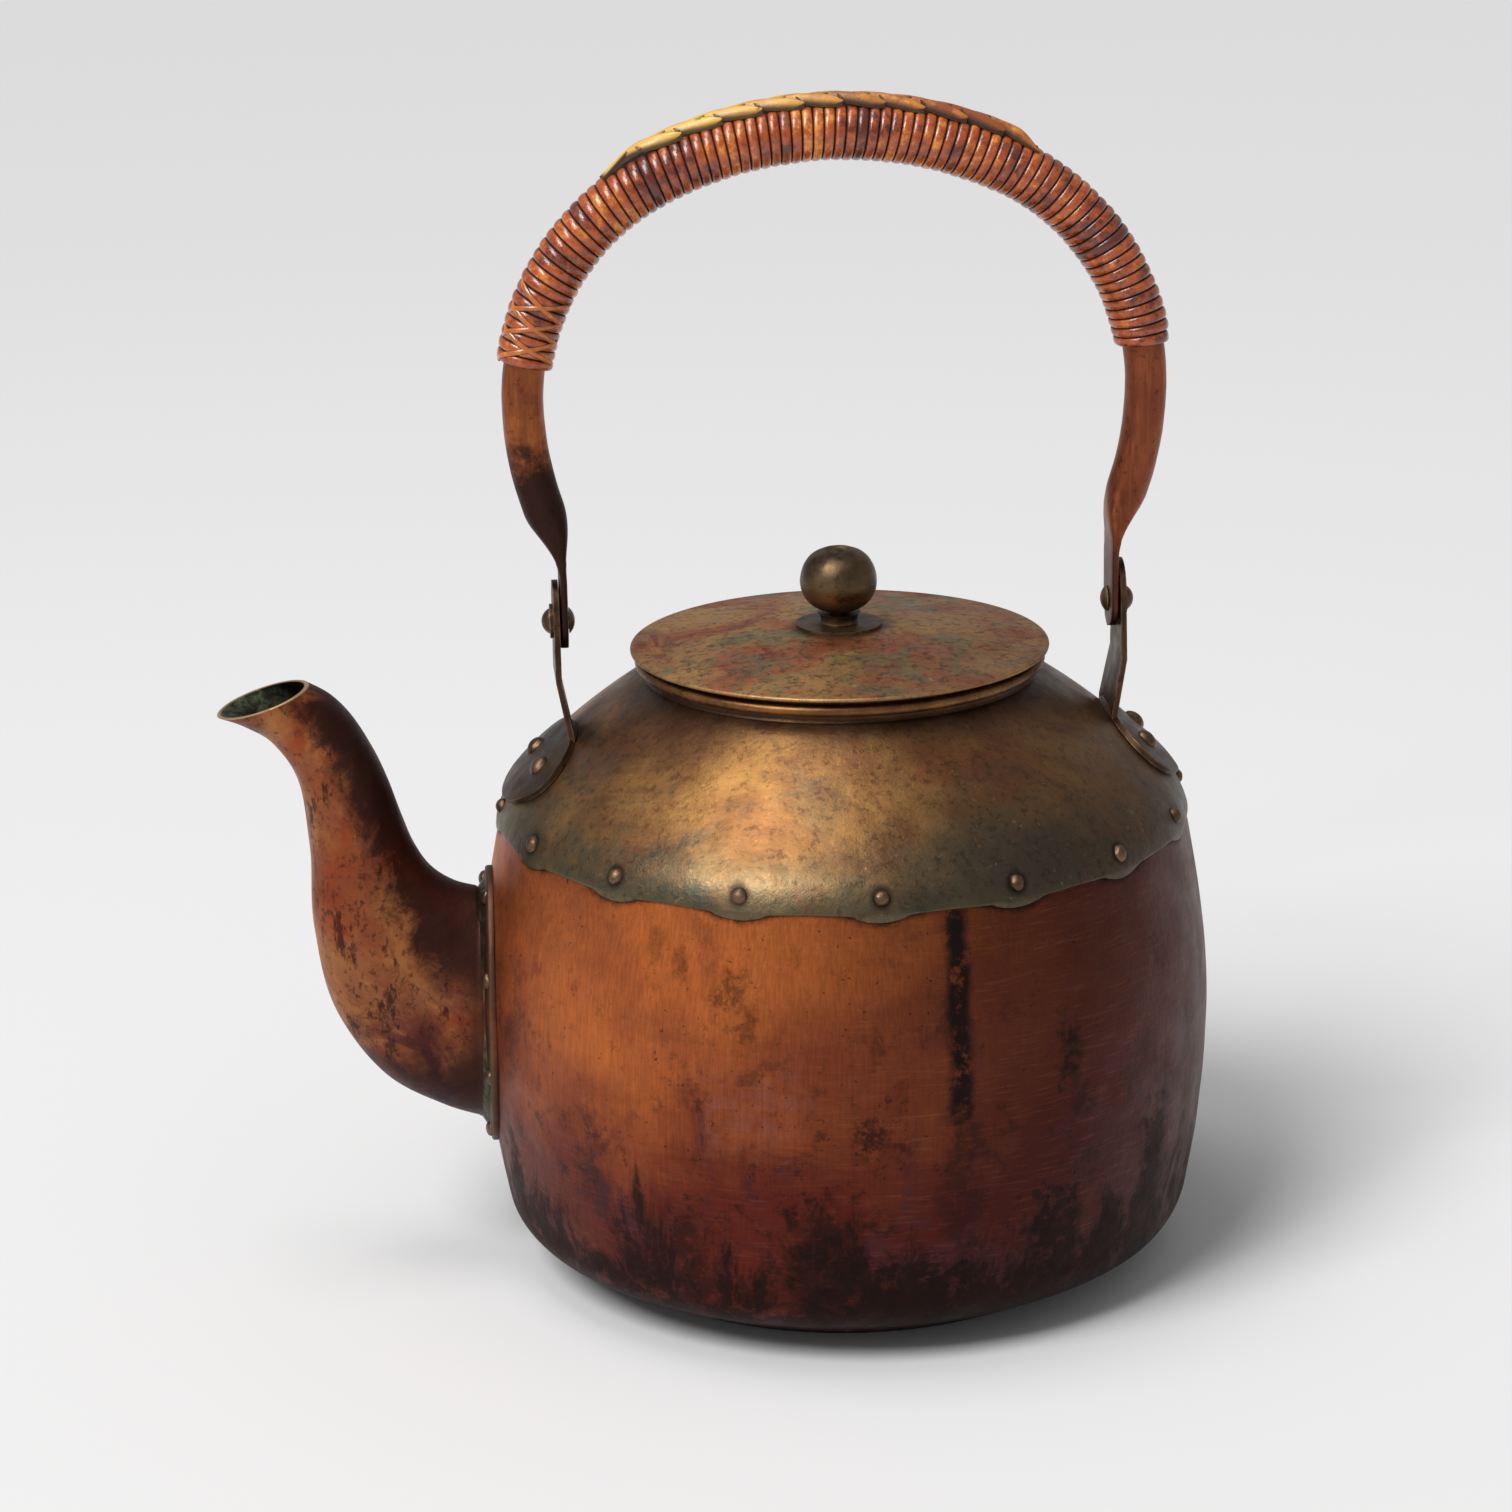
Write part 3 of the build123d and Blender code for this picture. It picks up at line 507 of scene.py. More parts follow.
def shoulder_copper():
    """Bronze-brown copper with a grey-green bloom and dark rings round the rivets."""
    shade = Shade("shoulder_copper")
    height = shade.z
    cloud = shade.noise(26, 8, 0.66, twist=0.7)
    shade.colour = shade.mix(shade.ease(cloud, 0.36, 0.62), srgb(164, 120, 68), srgb(118, 80, 52))
    low = shade.shift(0.036, 46, 7, 0.7)
    edge = shade.ease(shade.plus(height, low), 0.120, 0.138, 0.85, 0.0)
    shade.paint(edge, srgb(92, 88, 68))
    red = shade.spots(40, 8, 0.7, 0.54, 0.68, 0.0, 0.55, twist=0.8)
    red_left = patch(shade, -112, 0.134, 0.141, 0.020, 0.3)
    red_right = patch(shade, -66, 0.139, 0.152, 0.022, 0.7)
    shade.paint(most(shade, [red, red_left, red_right]), srgb(120, 62, 44))
    teal = shade.spots(44, 8, 0.7, 0.53, 0.66, 0.0, 0.6, twist=0.6)
    teal_right = patch(shade, -62, 0.120, 0.138, 0.030, 0.8)
    teal_left = patch(shade, -100, 0.138, 0.146, 0.014, 0.35)
    shade.paint(most(shade, [teal, teal_right, teal_left]), srgb(70, 76, 66))
    # Painted shade: the side away from the spout and the lamps is painted darker.
    far = shade.ease(shade.along(-20), 0.0, 0.08, 0.0, 0.6)
    shade.paint(far, srgb(66, 50, 42))
    grain = shade.spots(460, 7, 0.76, 0.5, 0.64, 0.0, 0.5)
    shade.paint(grain, srgb(48, 38, 30))
    glint = shade.spots(540, 5, 0.7, 0.60, 0.72, 0.0, 0.3)
    shade.paint(glint, srgb(196, 150, 96))
    shade.paint(rivet_halo(shade), srgb(30, 24, 20))
    # Painted shade: the top of the dome and the neck, under the lid's rim, are painted dark.
    neck = shade.ease(height, 0.148, 0.156, 0.0, 0.8)
    shade.paint(neck, srgb(50, 34, 28))
    rough = shade.spots(110, 6, 0.65, 0.3, 0.7, 0.33, 0.48)
    hammered = shade.bump(shade.cells(110), 0.00030)
    normal = shade.bump(shade.noise(380, 6, 0.72), 0.00016, hammered)
    return shade.finish(rough, normal, 0.9)


def rivet_halo(shade):
    """A dark ring round each rivet of the shoulder's row."""
    angle = shade.math("ARCTAN2", shade.y, shade.x)
    turns = shade.times(angle, RIVET_COUNT / (2 * pi))
    apart = shade.math("SUBTRACT", turns, shade.math("ROUND", turns))
    seat = side_point(SHOULDER_WALL, RIVET_TURN)
    across = shade.times(apart, 2 * pi * seat[0] * MM / RIVET_COUNT)
    up = shade.math("SUBTRACT", shade.z, seat[1] * MM)
    squares = shade.plus(shade.times(across, across), shade.times(up, up))
    return shade.ease(shade.math("SQRT", squares), 0.0018, 0.0036, 0.8, 0.0)


def lid_copper():
    """Olive and red-brown patches, dark grain and a rubbed rim."""
    shade = Shade("lid_copper")
    cloud = shade.spots(30, 8, 0.66, 0.4, 0.6, twist=0.6)
    shade.colour = shade.mix(cloud, srgb(190, 144, 90), srgb(170, 100, 66))
    green = shade.spots(46, 8, 0.72, 0.47, 0.62, 0.0, 0.75, twist=0.4)
    shade.paint(green, srgb(118, 124, 88))
    red = shade.spots(58, 8, 0.72, 0.54, 0.66, 0.0, 0.75, twist=0.8)
    shade.paint(red, srgb(136, 64, 44))
    # Painted shade: the side away from the lamps is painted darker.
    shaded_side = shade.ease(shade.along(-10), -0.01, 0.05, 0.0, 0.3)
    shade.paint(shaded_side, srgb(62, 46, 38))
    grain = shade.spots(430, 8, 0.78, 0.48, 0.62, 0.0, 0.65)
    shade.paint(grain, srgb(50, 40, 32))
    fleck = shade.spots(260, 4, 0.65, 0.66, 0.72, 0.0, 0.5)
    shade.paint(fleck, srgb(186, 164, 132))
    radius = shade.node("VectorMath", operation="LENGTH")
    shade.join(shade.scaled(1, 1, 0), radius.inputs[0])
    rim = shade.ease(radius.outputs["Value"], (LID_R - 0.9) * MM, (LID_R - 0.2) * MM, 0.0, 0.55)
    rim = shade.times(rim, shade.spots(190, 5, 0.7, 0.35, 0.55, 0.3, 1.0))
    shade.paint(rim, srgb(160, 130, 90))
    foot = shade.ease(radius.outputs["Value"], 0.0105, 0.0150, 0.75, 0.0)
    shade.paint(foot, srgb(36, 28, 23))
    rough = shade.spots(120, 6, 0.65, 0.3, 0.7, 0.40, 0.58)
    hammered = shade.bump(shade.cells(130), 0.00022)
    normal = shade.bump(shade.noise(420, 7, 0.74), 0.00016, hammered)
    return shade.finish(rough, normal, 0.88)


def worn_metal(name, dark, light, bright, wear=0.55, grain=360):
    """Metal whose faces are dark and whose edges are rubbed bright."""
    shade = Shade(name)
    shade.colour = shade.mix(shade.spots(90, 6, 0.65, 0.35, 0.65), dark, light)
    rounded = shade.node("Bevel", samples=6)
    rounded.inputs["Radius"].default_value = 0.0007
    flat = shade.node("NewGeometry")
    facing = shade.node("VectorMath", operation="DOT_PRODUCT")
    shade.join(rounded.outputs[0], facing.inputs[0])
    shade.join(flat.outputs["Normal"], facing.inputs[1])
    edge = shade.ease(facing.outputs["Value"], 0.90, 0.995, wear, 0.0)
    rubbed = shade.times(edge, shade.spots(240, 5, 0.65, 0.35, 0.6))
    shade.paint(rubbed, bright)
    spot = shade.spots(grain, 5, 0.7, 0.54, 0.68, 0.0, 0.6)
    shade.paint(spot, srgb(30, 22, 18))
    rough = shade.spots(160, 5, 0.6, 0.3, 0.7, 0.34, 0.52)
    normal = shade.bump(shade.noise(grain, 6, 0.7), 0.00012)
    return shade.finish(rough, normal, 0.92)


def bail_copper():
    """Brown copper, blackened low on the spout's side; the other leg has painted shade, darker and redder.
    """
    shade = Shade("bail_copper")
    height = shade.z
    side = shade.x
    cloud = shade.spots(60, 6, 0.6, 0.36, 0.64, twist=0.4)
    shade.colour = shade.mix(cloud, srgb(184, 106, 60), srgb(140, 74, 46))
    # Painted shade: the right leg, away from the lamps, is painted darker and redder.
    shade.paint(shade.ease(side, -0.02, 0.05, 0.0, 0.6), srgb(140, 76, 52))
    grain = shade.noise(1.0, 5, 0.65, where=shade.scaled(900, 900, 90))
    shade.paint(shade.ease(grain, 0.4, 0.7, 0.4, 0.0), srgb(74, 38, 28))
    ragged = shade.shift(0.034, 170, 7, 0.72)
    level = shade.plus(height, ragged)
    black = shade.times(shade.ease(level, 0.209, 0.222, 1.0, 0.0), shade.ease(side, -0.02, 0.0, 0.93, 0.0))
    low = shade.times(shade.ease(level, 0.178, 0.196, 1.0, 0.0), shade.ease(side, 0.0, 0.02, 0.0, 0.55))
    dark = shade.math("MAXIMUM", black, low)
    shade.paint(dark, srgb(38, 28, 26))
    pits = shade.spots(480, 5, 0.7, 0.56, 0.68, 0.0, 0.55)
    shade.paint(pits, srgb(44, 26, 20))
    rough = shade.plus(shade.ease(grain, 0.3, 0.7, 0.32, 0.44), shade.times(dark, 0.14))
    normal = shade.bump(shade.noise(300, 6, 0.7), 0.00016)
    return shade.finish(rough, normal, 0.92)


def cane(name, deep, body, bright, dirt_and_gap_shade, gloss, varnish):
    """Varnished cane: colour from strip to strip, painted shade in the gaps, dirt spots, painted light
    where the third tone mark is high, and fine fibres.
    """
    shade = Shade(name)
    strip, gap, run = shade.tones()
    mottled = shade.shift(2.4, 260, 7, 0.74)
    warm = shade.plus(strip, mottled)
    shade.colour = shade.mix(shade.ease(warm, 0.15, 0.6), deep, body)
    shade.paint(shade.ease(warm, 0.6, 1.0, 0.0, 0.8), bright)
    # Painted light: the third tone mark paints the plait's left leaves, and a little the binding strands,
    # bright as if lit.
    painted_light = shade.times(run, 0.85)
    shade.paint(painted_light, bright)
    fibre = shade.node("CombineXYZ")
    shade.join(shade.times(gap, 9.0), fibre.inputs[0])
    shade.join(shade.times(strip, 40.0), fibre.inputs[1])
    grain = shade.noise(1.0, 4, 0.6, where=fibre.outputs[0])
    shade.paint(shade.ease(grain, 0.5, 0.75, 0.0, 0.35), deep)
    # Painted shade in the gaps between strips and leaves; the blots are dirt.
    gap_shade = shade.ease(gap, 0.68, 1.0, 0.0, 0.92)
    blot = shade.spots(150, 6, 0.7, 0.6, 0.72, 0.0, 0.7)
    shade.paint(shade.math("MAXIMUM", gap_shade, blot), dirt_and_gap_shade)
    rough = shade.spots(300, 4, 0.6, 0.3, 0.7, gloss, gloss + 0.16)
    rough = shade.math("MAXIMUM", rough, shade.times(gap_shade, 0.85))
    shade.shader.inputs["Coat Weight"].default_value = varnish
    shade.shader.inputs["Coat Roughness"].default_value = 0.12
    normal = shade.bump(shade.noise(520, 5, 0.65), 0.00018)
    return shade.finish(rough, normal, 0.0)


# ---- pieces of the kettle's body ----
def body_outline(inset):
    """The body's section from the middle of the base to its hidden top edge."""
    corner = side_point(-inset, CORNER_END)
    run = (corner[1] - inset) / cos(radians(CORNER_END))
    foot = corner[0] + run * sin(radians(CORNER_END))
    points = [(foot * share, inset) for share in (0.0, 0.3, 0.6, 0.85, 0.97, 0.995)]
    for share in (0.01, 0.05, 0.3, 0.6, 0.9):
        points.append((foot + (corner[0] - foot) * share, inset + (corner[1] - inset) * share))
    turns = steps(CORNER_END, LOWER_END, 14) + steps(LOWER_END, 0, 26)[1:] + steps(0, FLANK_END, 24)[1:]
    turns += steps(FLANK_END, BODY_TOP, 6)[1:]
    return points + [side_point(-inset, turn) for turn in turns]


def body_push(x, y, z):
    """Dents over the body, fading out at the base and under the shoulder."""
    fade = smooth(z, 2, 16) * (1 - smooth(z, 108, 118))
    return dent((x, y, z), 0.9, 34.0) * fade


def make_body(material):
    outline = body_outline(0.0) + list(reversed(body_outline(BODY_WALL)))
    verts, faces = lathe(outline, 288, body_push)
    piece = make_piece("kettle_body", verts, faces, material, "kettle", ["body_shell"])
    cut_spout_hole(piece)


def cut_spout_hole(piece):
    """Opens the wall behind the spout, as the CAD body has it."""
    cols = 48
    verts = []
    for x in (-110, -70):
        for angle in ring(cols):
            y = HOLE_HALF_WIDTH * sin(angle)
            z = SPOUT_Z + HOLE_HALF_HEIGHT * cos(angle)
            verts.append((x * MM, y * MM, z * MM))
    mesh = bpy.data.meshes.new("hole_cutter")
    mesh.from_pydata(verts, [], grid_faces(2, cols) + caps(0, 2 * cols, cols))
    cutter = add_object("hole_cutter", mesh)
    hole = piece.modifiers.new("spout_hole", "BOOLEAN")
    hole.object = cutter
    hole.operation = "DIFFERENCE"
    hole.solver = "EXACT"
    done = bpy.data.meshes.new_from_object(piece.evaluated_get(bpy.context.evaluated_depsgraph_get()))
    piece.modifiers.clear()
    piece.data = done
    bpy.data.objects.remove(cutter)


def scallop_z(angle):
    """Height of the shoulder's wavy lower edge, lowest under each rivet."""
    middle = (SCALLOP_LOW_Z + SCALLOP_HIGH_Z) / 2
    swing = (SCALLOP_HIGH_Z - SCALLOP_LOW_Z) / 2
    uneven = 0.35 * perlin.noise(Vector((cos(angle) * 3, sin(angle) * 3, 4.0)))
    return middle - swing * cos(RIVET_COUNT * angle) * (1 + uneven) + 0.6 * uneven


def shoulder_push(x, y, z):
    fade = smooth(z, 126, 132) * (1 - smooth(z, 150, 155))
    return dent((x, y, z), 0.55, 30.0, 5.0) * fade


def make_shoulder(material):
    cols = 480
    shares = [0.0, 0.003, 0.012] + steps(0.03, 1.0, 44)
    edge = [0.45, 0.8, 0.96]
    columns = []
    for angle in ring(cols):
        start = degrees(asin((scallop_z(angle) - FLANK_C[1]) / (FLANK_ARC + SHOULDER_WALL)))
        thick = edge + [1.0] * (len(shares) - len(edge))
        outer = [side_point(SHOULDER_WALL * full, start + (DOME_END - start) * share)
                 for full, share in zip(thick, shares)]
        top = outer[-1][1]
        neck = [(NECK_R + 0.5, top + 0.15), (NECK_R + 0.1, top + 0.6), (NECK_R, top + 1.4),
                (NECK_R, NECK_TOP - 0.3), (NECK_R - 0.3, NECK_TOP), (NECK_IN + 0.3, NECK_TOP),
                (NECK_IN, NECK_TOP - 0.3), (NECK_IN, top - 1.0)]
        inner = [side_point(0.02, start + (DOME_END - start) * share) for share in steps(1.0, 0.0, 20)]
        columns.append((angle, outer + neck + inner))
    rows = len(columns[0][1])
    verts = []
    for row in range(rows):
        for angle, points in columns:
            radius, height = points[row]
            shift = shoulder_push(*around(radius, angle, height))
            verts.append(around(radius - shift, angle, height))
    faces = grid_faces(rows, cols, close_rows=True)
    make_piece("kettle_shoulder", verts, faces, material, "kettle", ["shoulder"])


# ---- rivets ----
def surface_frame(azimuth, radius, height, turn):
    """Origin and axes (across, up the slope, outward) at a place on the side."""
    a = radians(azimuth)
    t = radians(turn)
    out = Vector((cos(t) * cos(a), cos(t) * sin(a), sin(t)))
    across = Vector((-sin(a), cos(a), 0))
    spot = Vector((radius * cos(a), radius * sin(a), height))
    return spot, across, out.cross(across), out


def rivet_head(seat, radius, height, verts, faces):
    """Adds one hand-hammered domed head to a mesh under construction."""
    spot, across, slope, out = seat
    cols = 28
    profile = [(1.0, -0.35), (1.02, 0.05)]
    profile += [(cos(a), sin(a)) for a in steps(0.12, pi / 2, 7)]
    lean = chance.uniform(0, 2 * pi)
    oval = 1 + chance.uniform(-0.07, 0.07)
    seed = chance.uniform(0, 50)
    first = len(verts)
    for share, rise in profile:
        for angle in ring(cols):
            place = Vector((cos(angle) * 1.3, sin(angle) * 1.3, seed + rise))
            bumpy = 1 + 0.12 * perlin.noise(place)
            x = radius * share * bumpy * cos(angle) * oval
            y = radius * share * bumpy * sin(angle) / oval
            flat = 1 - 0.16 * smooth(cos(angle - lean) * share, 0.1, 1.0)
            point = spot + across * x + slope * y + out * (height * rise * flat)
            verts.append(tuple(point))
    faces += grid_faces(len(profile), cols, first)


def shoulder_seats():
    seat = side_point(SHOULDER_WALL, RIVET_TURN)
    pitch = 360 / RIVET_COUNT
    return [surface_frame(pitch * k, seat[0], seat[1], RIVET_TURN) for k in range(RIVET_COUNT)]


def spout_seats():
    seats = []
    for k in range(8):
        turn = 2 * pi * (k + 0.5) / 8
        y = (SPOUT_HALF_WIDTH + SPOUT_FLANGE / 2 + 0.6) * cos(turn)
        z = SPOUT_Z + (SPOUT_HALF_HEIGHT + SPOUT_FLANGE / 2 + 0.6) * sin(turn)
        radius = side_radius(z, SPOUT_WALL)
        arc = FLANK_ARC if z > BELLY_Z else LOWER_ARC
        tilt = degrees(asin((z - BELLY_Z) / (arc + SPOUT_WALL)))
        seats.append(surface_frame(180 - degrees(asin(y / radius)), radius, z, tilt))
    return seats


def ear_seats(side):
    seat = side_point(SHOULDER_WALL + 1.5, EAR_TURN)
    return [surface_frame((0 if side == "right" else 180) + spread, seat[0], seat[1], EAR_TURN)
            for spread in (-EAR_SPREAD, EAR_SPREAD)]


def make_rivets(name, seats, radius, height, material, node):
    verts = []
    faces = []
    for seat in seats:
        rivet_head(seat, radius, height, verts, faces)
    make_piece(name, verts, faces, material, "kettle", [node])


# ---- spout ----
# Sections from the body to the mouth: outer point, inner point, half width.
SPOUT_SECTIONS = [
    ((-96.0, 38.4), (-94.6, 101.0), 17.1),
    ((-106.0, 42.2), (-100.8, 103.0), 16.8),
    ((-121.0, 51.6), (-106.6, 107.4), 16.0),
    ((-133.2, 70.6), (-110.6, 113.8), 14.6),
    ((-137.3, 93.0), (-113.4, 121.6), 12.9),
    ((-137.4, 114.0), (-116.2, 130.4), 11.5),
    ((-139.4, 131.6), (-119.6, 139.2), 10.6),
    ((-145.4, 142.4), (-124.4, 147.6), 10.8),
    ((-152.8, 147.6), (-129.8, 153.7), 11.6),
    ((-159.1, 150.2), (-135.5, 157.2), 12.1),
]


def blend4(a, b, c, d, share):
    """A smooth curve through b and c, led by a and d."""
    return 0.5 * (2 * b + (c - a) * share + (2 * a - 5 * b + 4 * c - d) * share ** 2
                  + (3 * b - a - 3 * c + d) * share ** 3)


def spout_section(place):
    """Middle, half axis and half width at a place counted in sections."""
    last = len(SPOUT_SECTIONS) - 1
    low = min(int(place), last - 1)
    four = [SPOUT_SECTIONS[min(max(low + k, 0), last)] for k in (-1, 0, 1, 2)]
    flat = [(*outer, *inner, width) for outer, inner, width in four]
    ox, oz, ix, iz, width = [blend4(*values, place - low) for values in zip(*flat)]
    middle = Vector(((ox + ix) / 2, 0, (oz + iz) / 2))
    half = Vector(((ix - ox) / 2, 0, (iz - oz) / 2))
    return middle, half, width


def spout_ring(place, inset, cols, lead=0.0):
    middle, half, width = spout_section(place)
    along = half.normalized()
    ahead = Vector((-along.z, 0, along.x))
    points = []
    for angle in ring(cols):
        point = middle + along * (half.length - inset) * cos(angle) + ahead * lead
        point.y += (width - inset) * sin(angle)
        bumpy = 0.22 * perlin.noise(point / 16)
        outward = (point - middle).normalized()
        points.append(tuple(point + outward * (bumpy - 0.12)))
    return points


def flange_ring(half_height, half_width, off, cols):
    """A ring of points lying on the body's side round the spout."""
    points = []
    for angle in ring(cols):
        y = half_width * sin(angle)
        z = SPOUT_Z + half_height * cos(angle)
        points.append((-sqrt(side_radius(z, off) ** 2 - y ** 2), y, z))
    return points


def make_spout(material):
    """Flange, root, stem, rim and inner wall in one skin, with its own marks."""
    cols = 96
    h, w, lip = SPOUT_HALF_HEIGHT, SPOUT_HALF_WIDTH, SPOUT_FLANGE
    rows = [(flange_ring(h + lip, w + lip, -0.3, cols), (0, 0, 1)),
            (flange_ring(h + lip, w + lip, 0.85, cols), (0, 0.12, 1)),
            (flange_ring(h + lip - 0.4, w + lip - 0.4, SPOUT_WALL, cols), (0, 0.12, 1))]
    for spread, off in ((2.2, 1.2), (1.3, 1.35), (0.6, 1.8)):
        rows.append((flange_ring(h + spread, w + spread, off, cols), (0, 0, 1)))
    places = steps(0.16, 9.0, 88)
    for place in places:
        near = 1 - smooth(place, 0.16, 0.9)
        rows.append((spout_ring(place, 0.0, cols), (0, smooth(place, 8.93, 9.0), near)))
    rows.append((spout_ring(9.0, 0.25, cols, 0.12), (0, 1, 0)))
    rows.append((spout_ring(9.0, 0.75, cols, 0.12), (0.2, 1, 0)))
    rows += [(spout_ring(place, SPOUT_WALL, cols), (1, 0, 0)) for place in reversed(places)]
    verts = [point for ring, _ in rows for point in ring]
    colours = [(*tone, 1.0) for _, tone in rows for _ in range(cols)]
    faces = grid_faces(len(rows), cols, close_rows=True)
    make_piece("kettle_spout", verts, faces, material, "kettle", ["spout"], 60, colours)


# ---- lid and knob ----
def make_lid(material):
    """The shallow lid, with a softened rim and a little warp."""
    crown = LID_TOP - LID_WALL
    drop = crown - LID_LOW

    def surface(radius, lift):
        return crown + lift - drop * (radius / LID_R) ** 2
    radii = steps(0.0, LID_R - 1.0, 30)
    outline = [(r, surface(r, LID_WALL)) for r in radii]
    rim = LID_R - 0.55
    outline += [(rim + 0.55 * sin(a), surface(LID_R, LID_WALL / 2) + 0.55 * cos(a))
                for a in steps(0.0, pi, 8)]
    outline += [(r, surface(r, 0.0)) for r in reversed(radii)]
    cols = 240
    verts, faces = lathe(outline, cols)
    warped = []
    for x, y, z in verts:
        reach = hypot(x, y) / LID_R
        sink = dent((x, y, 0), 0.5, 26.0, 9.0) * smooth(reach, 0.25, 0.6) * (1 - smooth(reach, 0.9, 1.0))
        warped.append((x, y, z - sink))
    make_piece("kettle_lid", warped, faces, material, "lid", ["lid_plate"])


def make_knob(material):
    """A flattened ball, a little uneven, with a peened dimple in the top."""
    low = KNOB_MIDDLE - KNOB_LOW
    high = KNOB_TOP - KNOB_MIDDLE
    outline = [(0.0, KNOB_LOW)]
    outline += [(KNOB_R * cos(a) ** 0.82, KNOB_MIDDLE + low * sin(a)) for a in steps(-1.28, 0.0, 14)]
    outline += [(KNOB_R * cos(a) ** 0.7, KNOB_MIDDLE + high * sin(a)) for a in steps(0.0, 1.24, 16)[1:]]
    rim_r, rim_z = outline[-1]
    outline += [(rim_r * 0.86, rim_z + 0.25), (rim_r * 0.7, rim_z - 0.1), (rim_r * 0.5, rim_z - 1.1),
                (rim_r * 0.25, rim_z - 1.5), (0.0, rim_z - 1.6)]
    cols = 72
    verts, _ = lathe(outline, cols)
    faces = grid_faces(len(outline), cols)
    shaped = []
    for x, y, z in verts:
        sink = dent((x, y, z), 0.55, 9.0, 3.0)
        out = Vector((x, y, (z - KNOB_MIDDLE) * 0.5))
        out = out.normalized() if out.length > 0.5 else Vector((0, 0, 0))
        shaped.append((x - out.x * sink, y - out.y * sink, z - out.z * sink))
    make_piece("kettle_knob", shaped, faces, material, "lid", ["knob"])


# ---- bail, cane and plait ----
BAIL_TOP_Z = 293.3
TOP_ARC, TOP_ANGLE = 101.0, radians(25.5)
BEND_R = 62.0
LEG_ARC, FOOT_ARC = 84.0, 44.0
MID_X = (TOP_ARC - BEND_R) * sin(TOP_ANGLE)
MID_Z = BAIL_TOP_Z - TOP_ARC + (TOP_ARC - BEND_R) * cos(TOP_ANGLE)
BULGE_X = MID_X + BEND_R
LEG_ANGLE = acos(1 - (BULGE_X - TAB_X) / (LEG_ARC + FOOT_ARC))
FOOT_Z = MID_Z - (LEG_ARC + FOOT_ARC) * sin(LEG_ANGLE)
# How far along the bail, from its top, each arc of it ends.
TOP_RUN = TOP_ARC * TOP_ANGLE
BEND_RUN = TOP_RUN + BEND_R * (pi / 2 - TOP_ANGLE)
LEG_RUN = BEND_RUN + LEG_ARC * LEG_ANGLE
FOOT_RUN = LEG_RUN + FOOT_ARC * LEG_ANGLE
TAB_TIP_Z = 164.0
BAIL_RUN = FOOT_RUN + FOOT_Z - TAB_TIP_Z
BAIL_R = 5.4
TAB_HALF_WIDTH = 7.2
WRAP_END_Z = 237.5
WRAP_RUN = TOP_RUN + BEND_R * (pi / 2 - TOP_ANGLE - asin((WRAP_END_Z - MID_Z) / BEND_R))
WRAP_R = 7.35
STRIP_PITCH = 2.68
STRIP_LOW = 5.45
BRAID_LEFT, BRAID_RIGHT = -57.0, 49.5
BRAID_R = 10.5
LEAF_PITCH = 4.75
LEAF_LENGTH = 15.5


def bail_at(run):
    """Centre and outward normal of the bail at a distance from its top, right positive."""
    way = 1 if run >= 0 else -1
    far = abs(run)
    if far <= TOP_RUN:
        turn = far / TOP_ARC
        x = TOP_ARC * sin(turn)
        z = BAIL_TOP_Z - TOP_ARC + TOP_ARC * cos(turn)
        normal = (sin(turn), cos(turn))
    elif far <= BEND_RUN:
        turn = TOP_ANGLE + (far - TOP_RUN) / BEND_R
        x = MID_X + BEND_R * sin(turn)
        z = MID_Z + BEND_R * cos(turn)
        normal = (sin(turn), cos(turn))
    elif far <= LEG_RUN:
        turn = (far - BEND_RUN) / LEG_ARC
        x = BULGE_X - LEG_ARC + LEG_ARC * cos(turn)
        z = MID_Z - LEG_ARC * sin(turn)
        normal = (cos(turn), -sin(turn))
    elif far <= FOOT_RUN:
        turn = LEG_ANGLE - (far - LEG_RUN) / FOOT_ARC
        x = TAB_X + FOOT_ARC - FOOT_ARC * cos(turn)
        z = FOOT_Z + FOOT_ARC * sin(turn)
        normal = (cos(turn), -sin(turn))
    else:
        x = TAB_X
        z = FOOT_Z - (far - FOOT_RUN)
        normal = (1.0, 0.0)
    return Vector((way * x, 0, z)), Vector((way * normal[0], 0, normal[1]))


def bail_section(height):
    """Half thickness, half width and squareness of the bail at a height."""
    flat = 1 - smooth(height, 184.0, 201.0)
    thick = BAIL_R - 4.4 * flat
    wide = BAIL_R + (TAB_HALF_WIDTH - BAIL_R) * flat
    if height < PIVOT_Z:
        wide = sqrt(max(TAB_HALF_WIDTH ** 2 - (PIVOT_Z - height) ** 2, 0.02))
    return thick, wide, 2 + 3 * flat


def make_bail(material):
    """The round tube whose ends are hammered flat, as one smooth skin."""
    cols = 48
    verts = []
    runs = steps(-BAIL_RUN, BAIL_RUN, 420)
    for run in runs:
        centre, normal = bail_at(run)
        thick, wide, square = bail_section(centre.z)
        for angle in ring(cols):
            c, s = cos(angle), sin(angle)
            power = 2 / square
            x = thick * copysign(abs(c) ** power, c)
            y = wide * copysign(abs(s) ** power, s)
            point = centre + normal * x
            point.y += y
            if thick > 1.5:
                point -= (normal * c + Vector((0, s, 0))) * dent(tuple(point), 0.28, 9.0, 2.0)
            verts.append(tuple(point))
    faces = grid_faces(len(runs), cols)
    faces += caps(0, len(verts), cols)
    make_piece("bail_bar", verts, faces, material, "bail", ["bail_tube"])


def wound_point(run, radius, angle):
    """A point round the bail: angle 0 is on the outside of the curve, 90 is +Y."""
    centre, normal = bail_at(run)
    point = centre + normal * (radius * cos(angle))
    point.y += radius * sin(angle)
    return tuple(point)


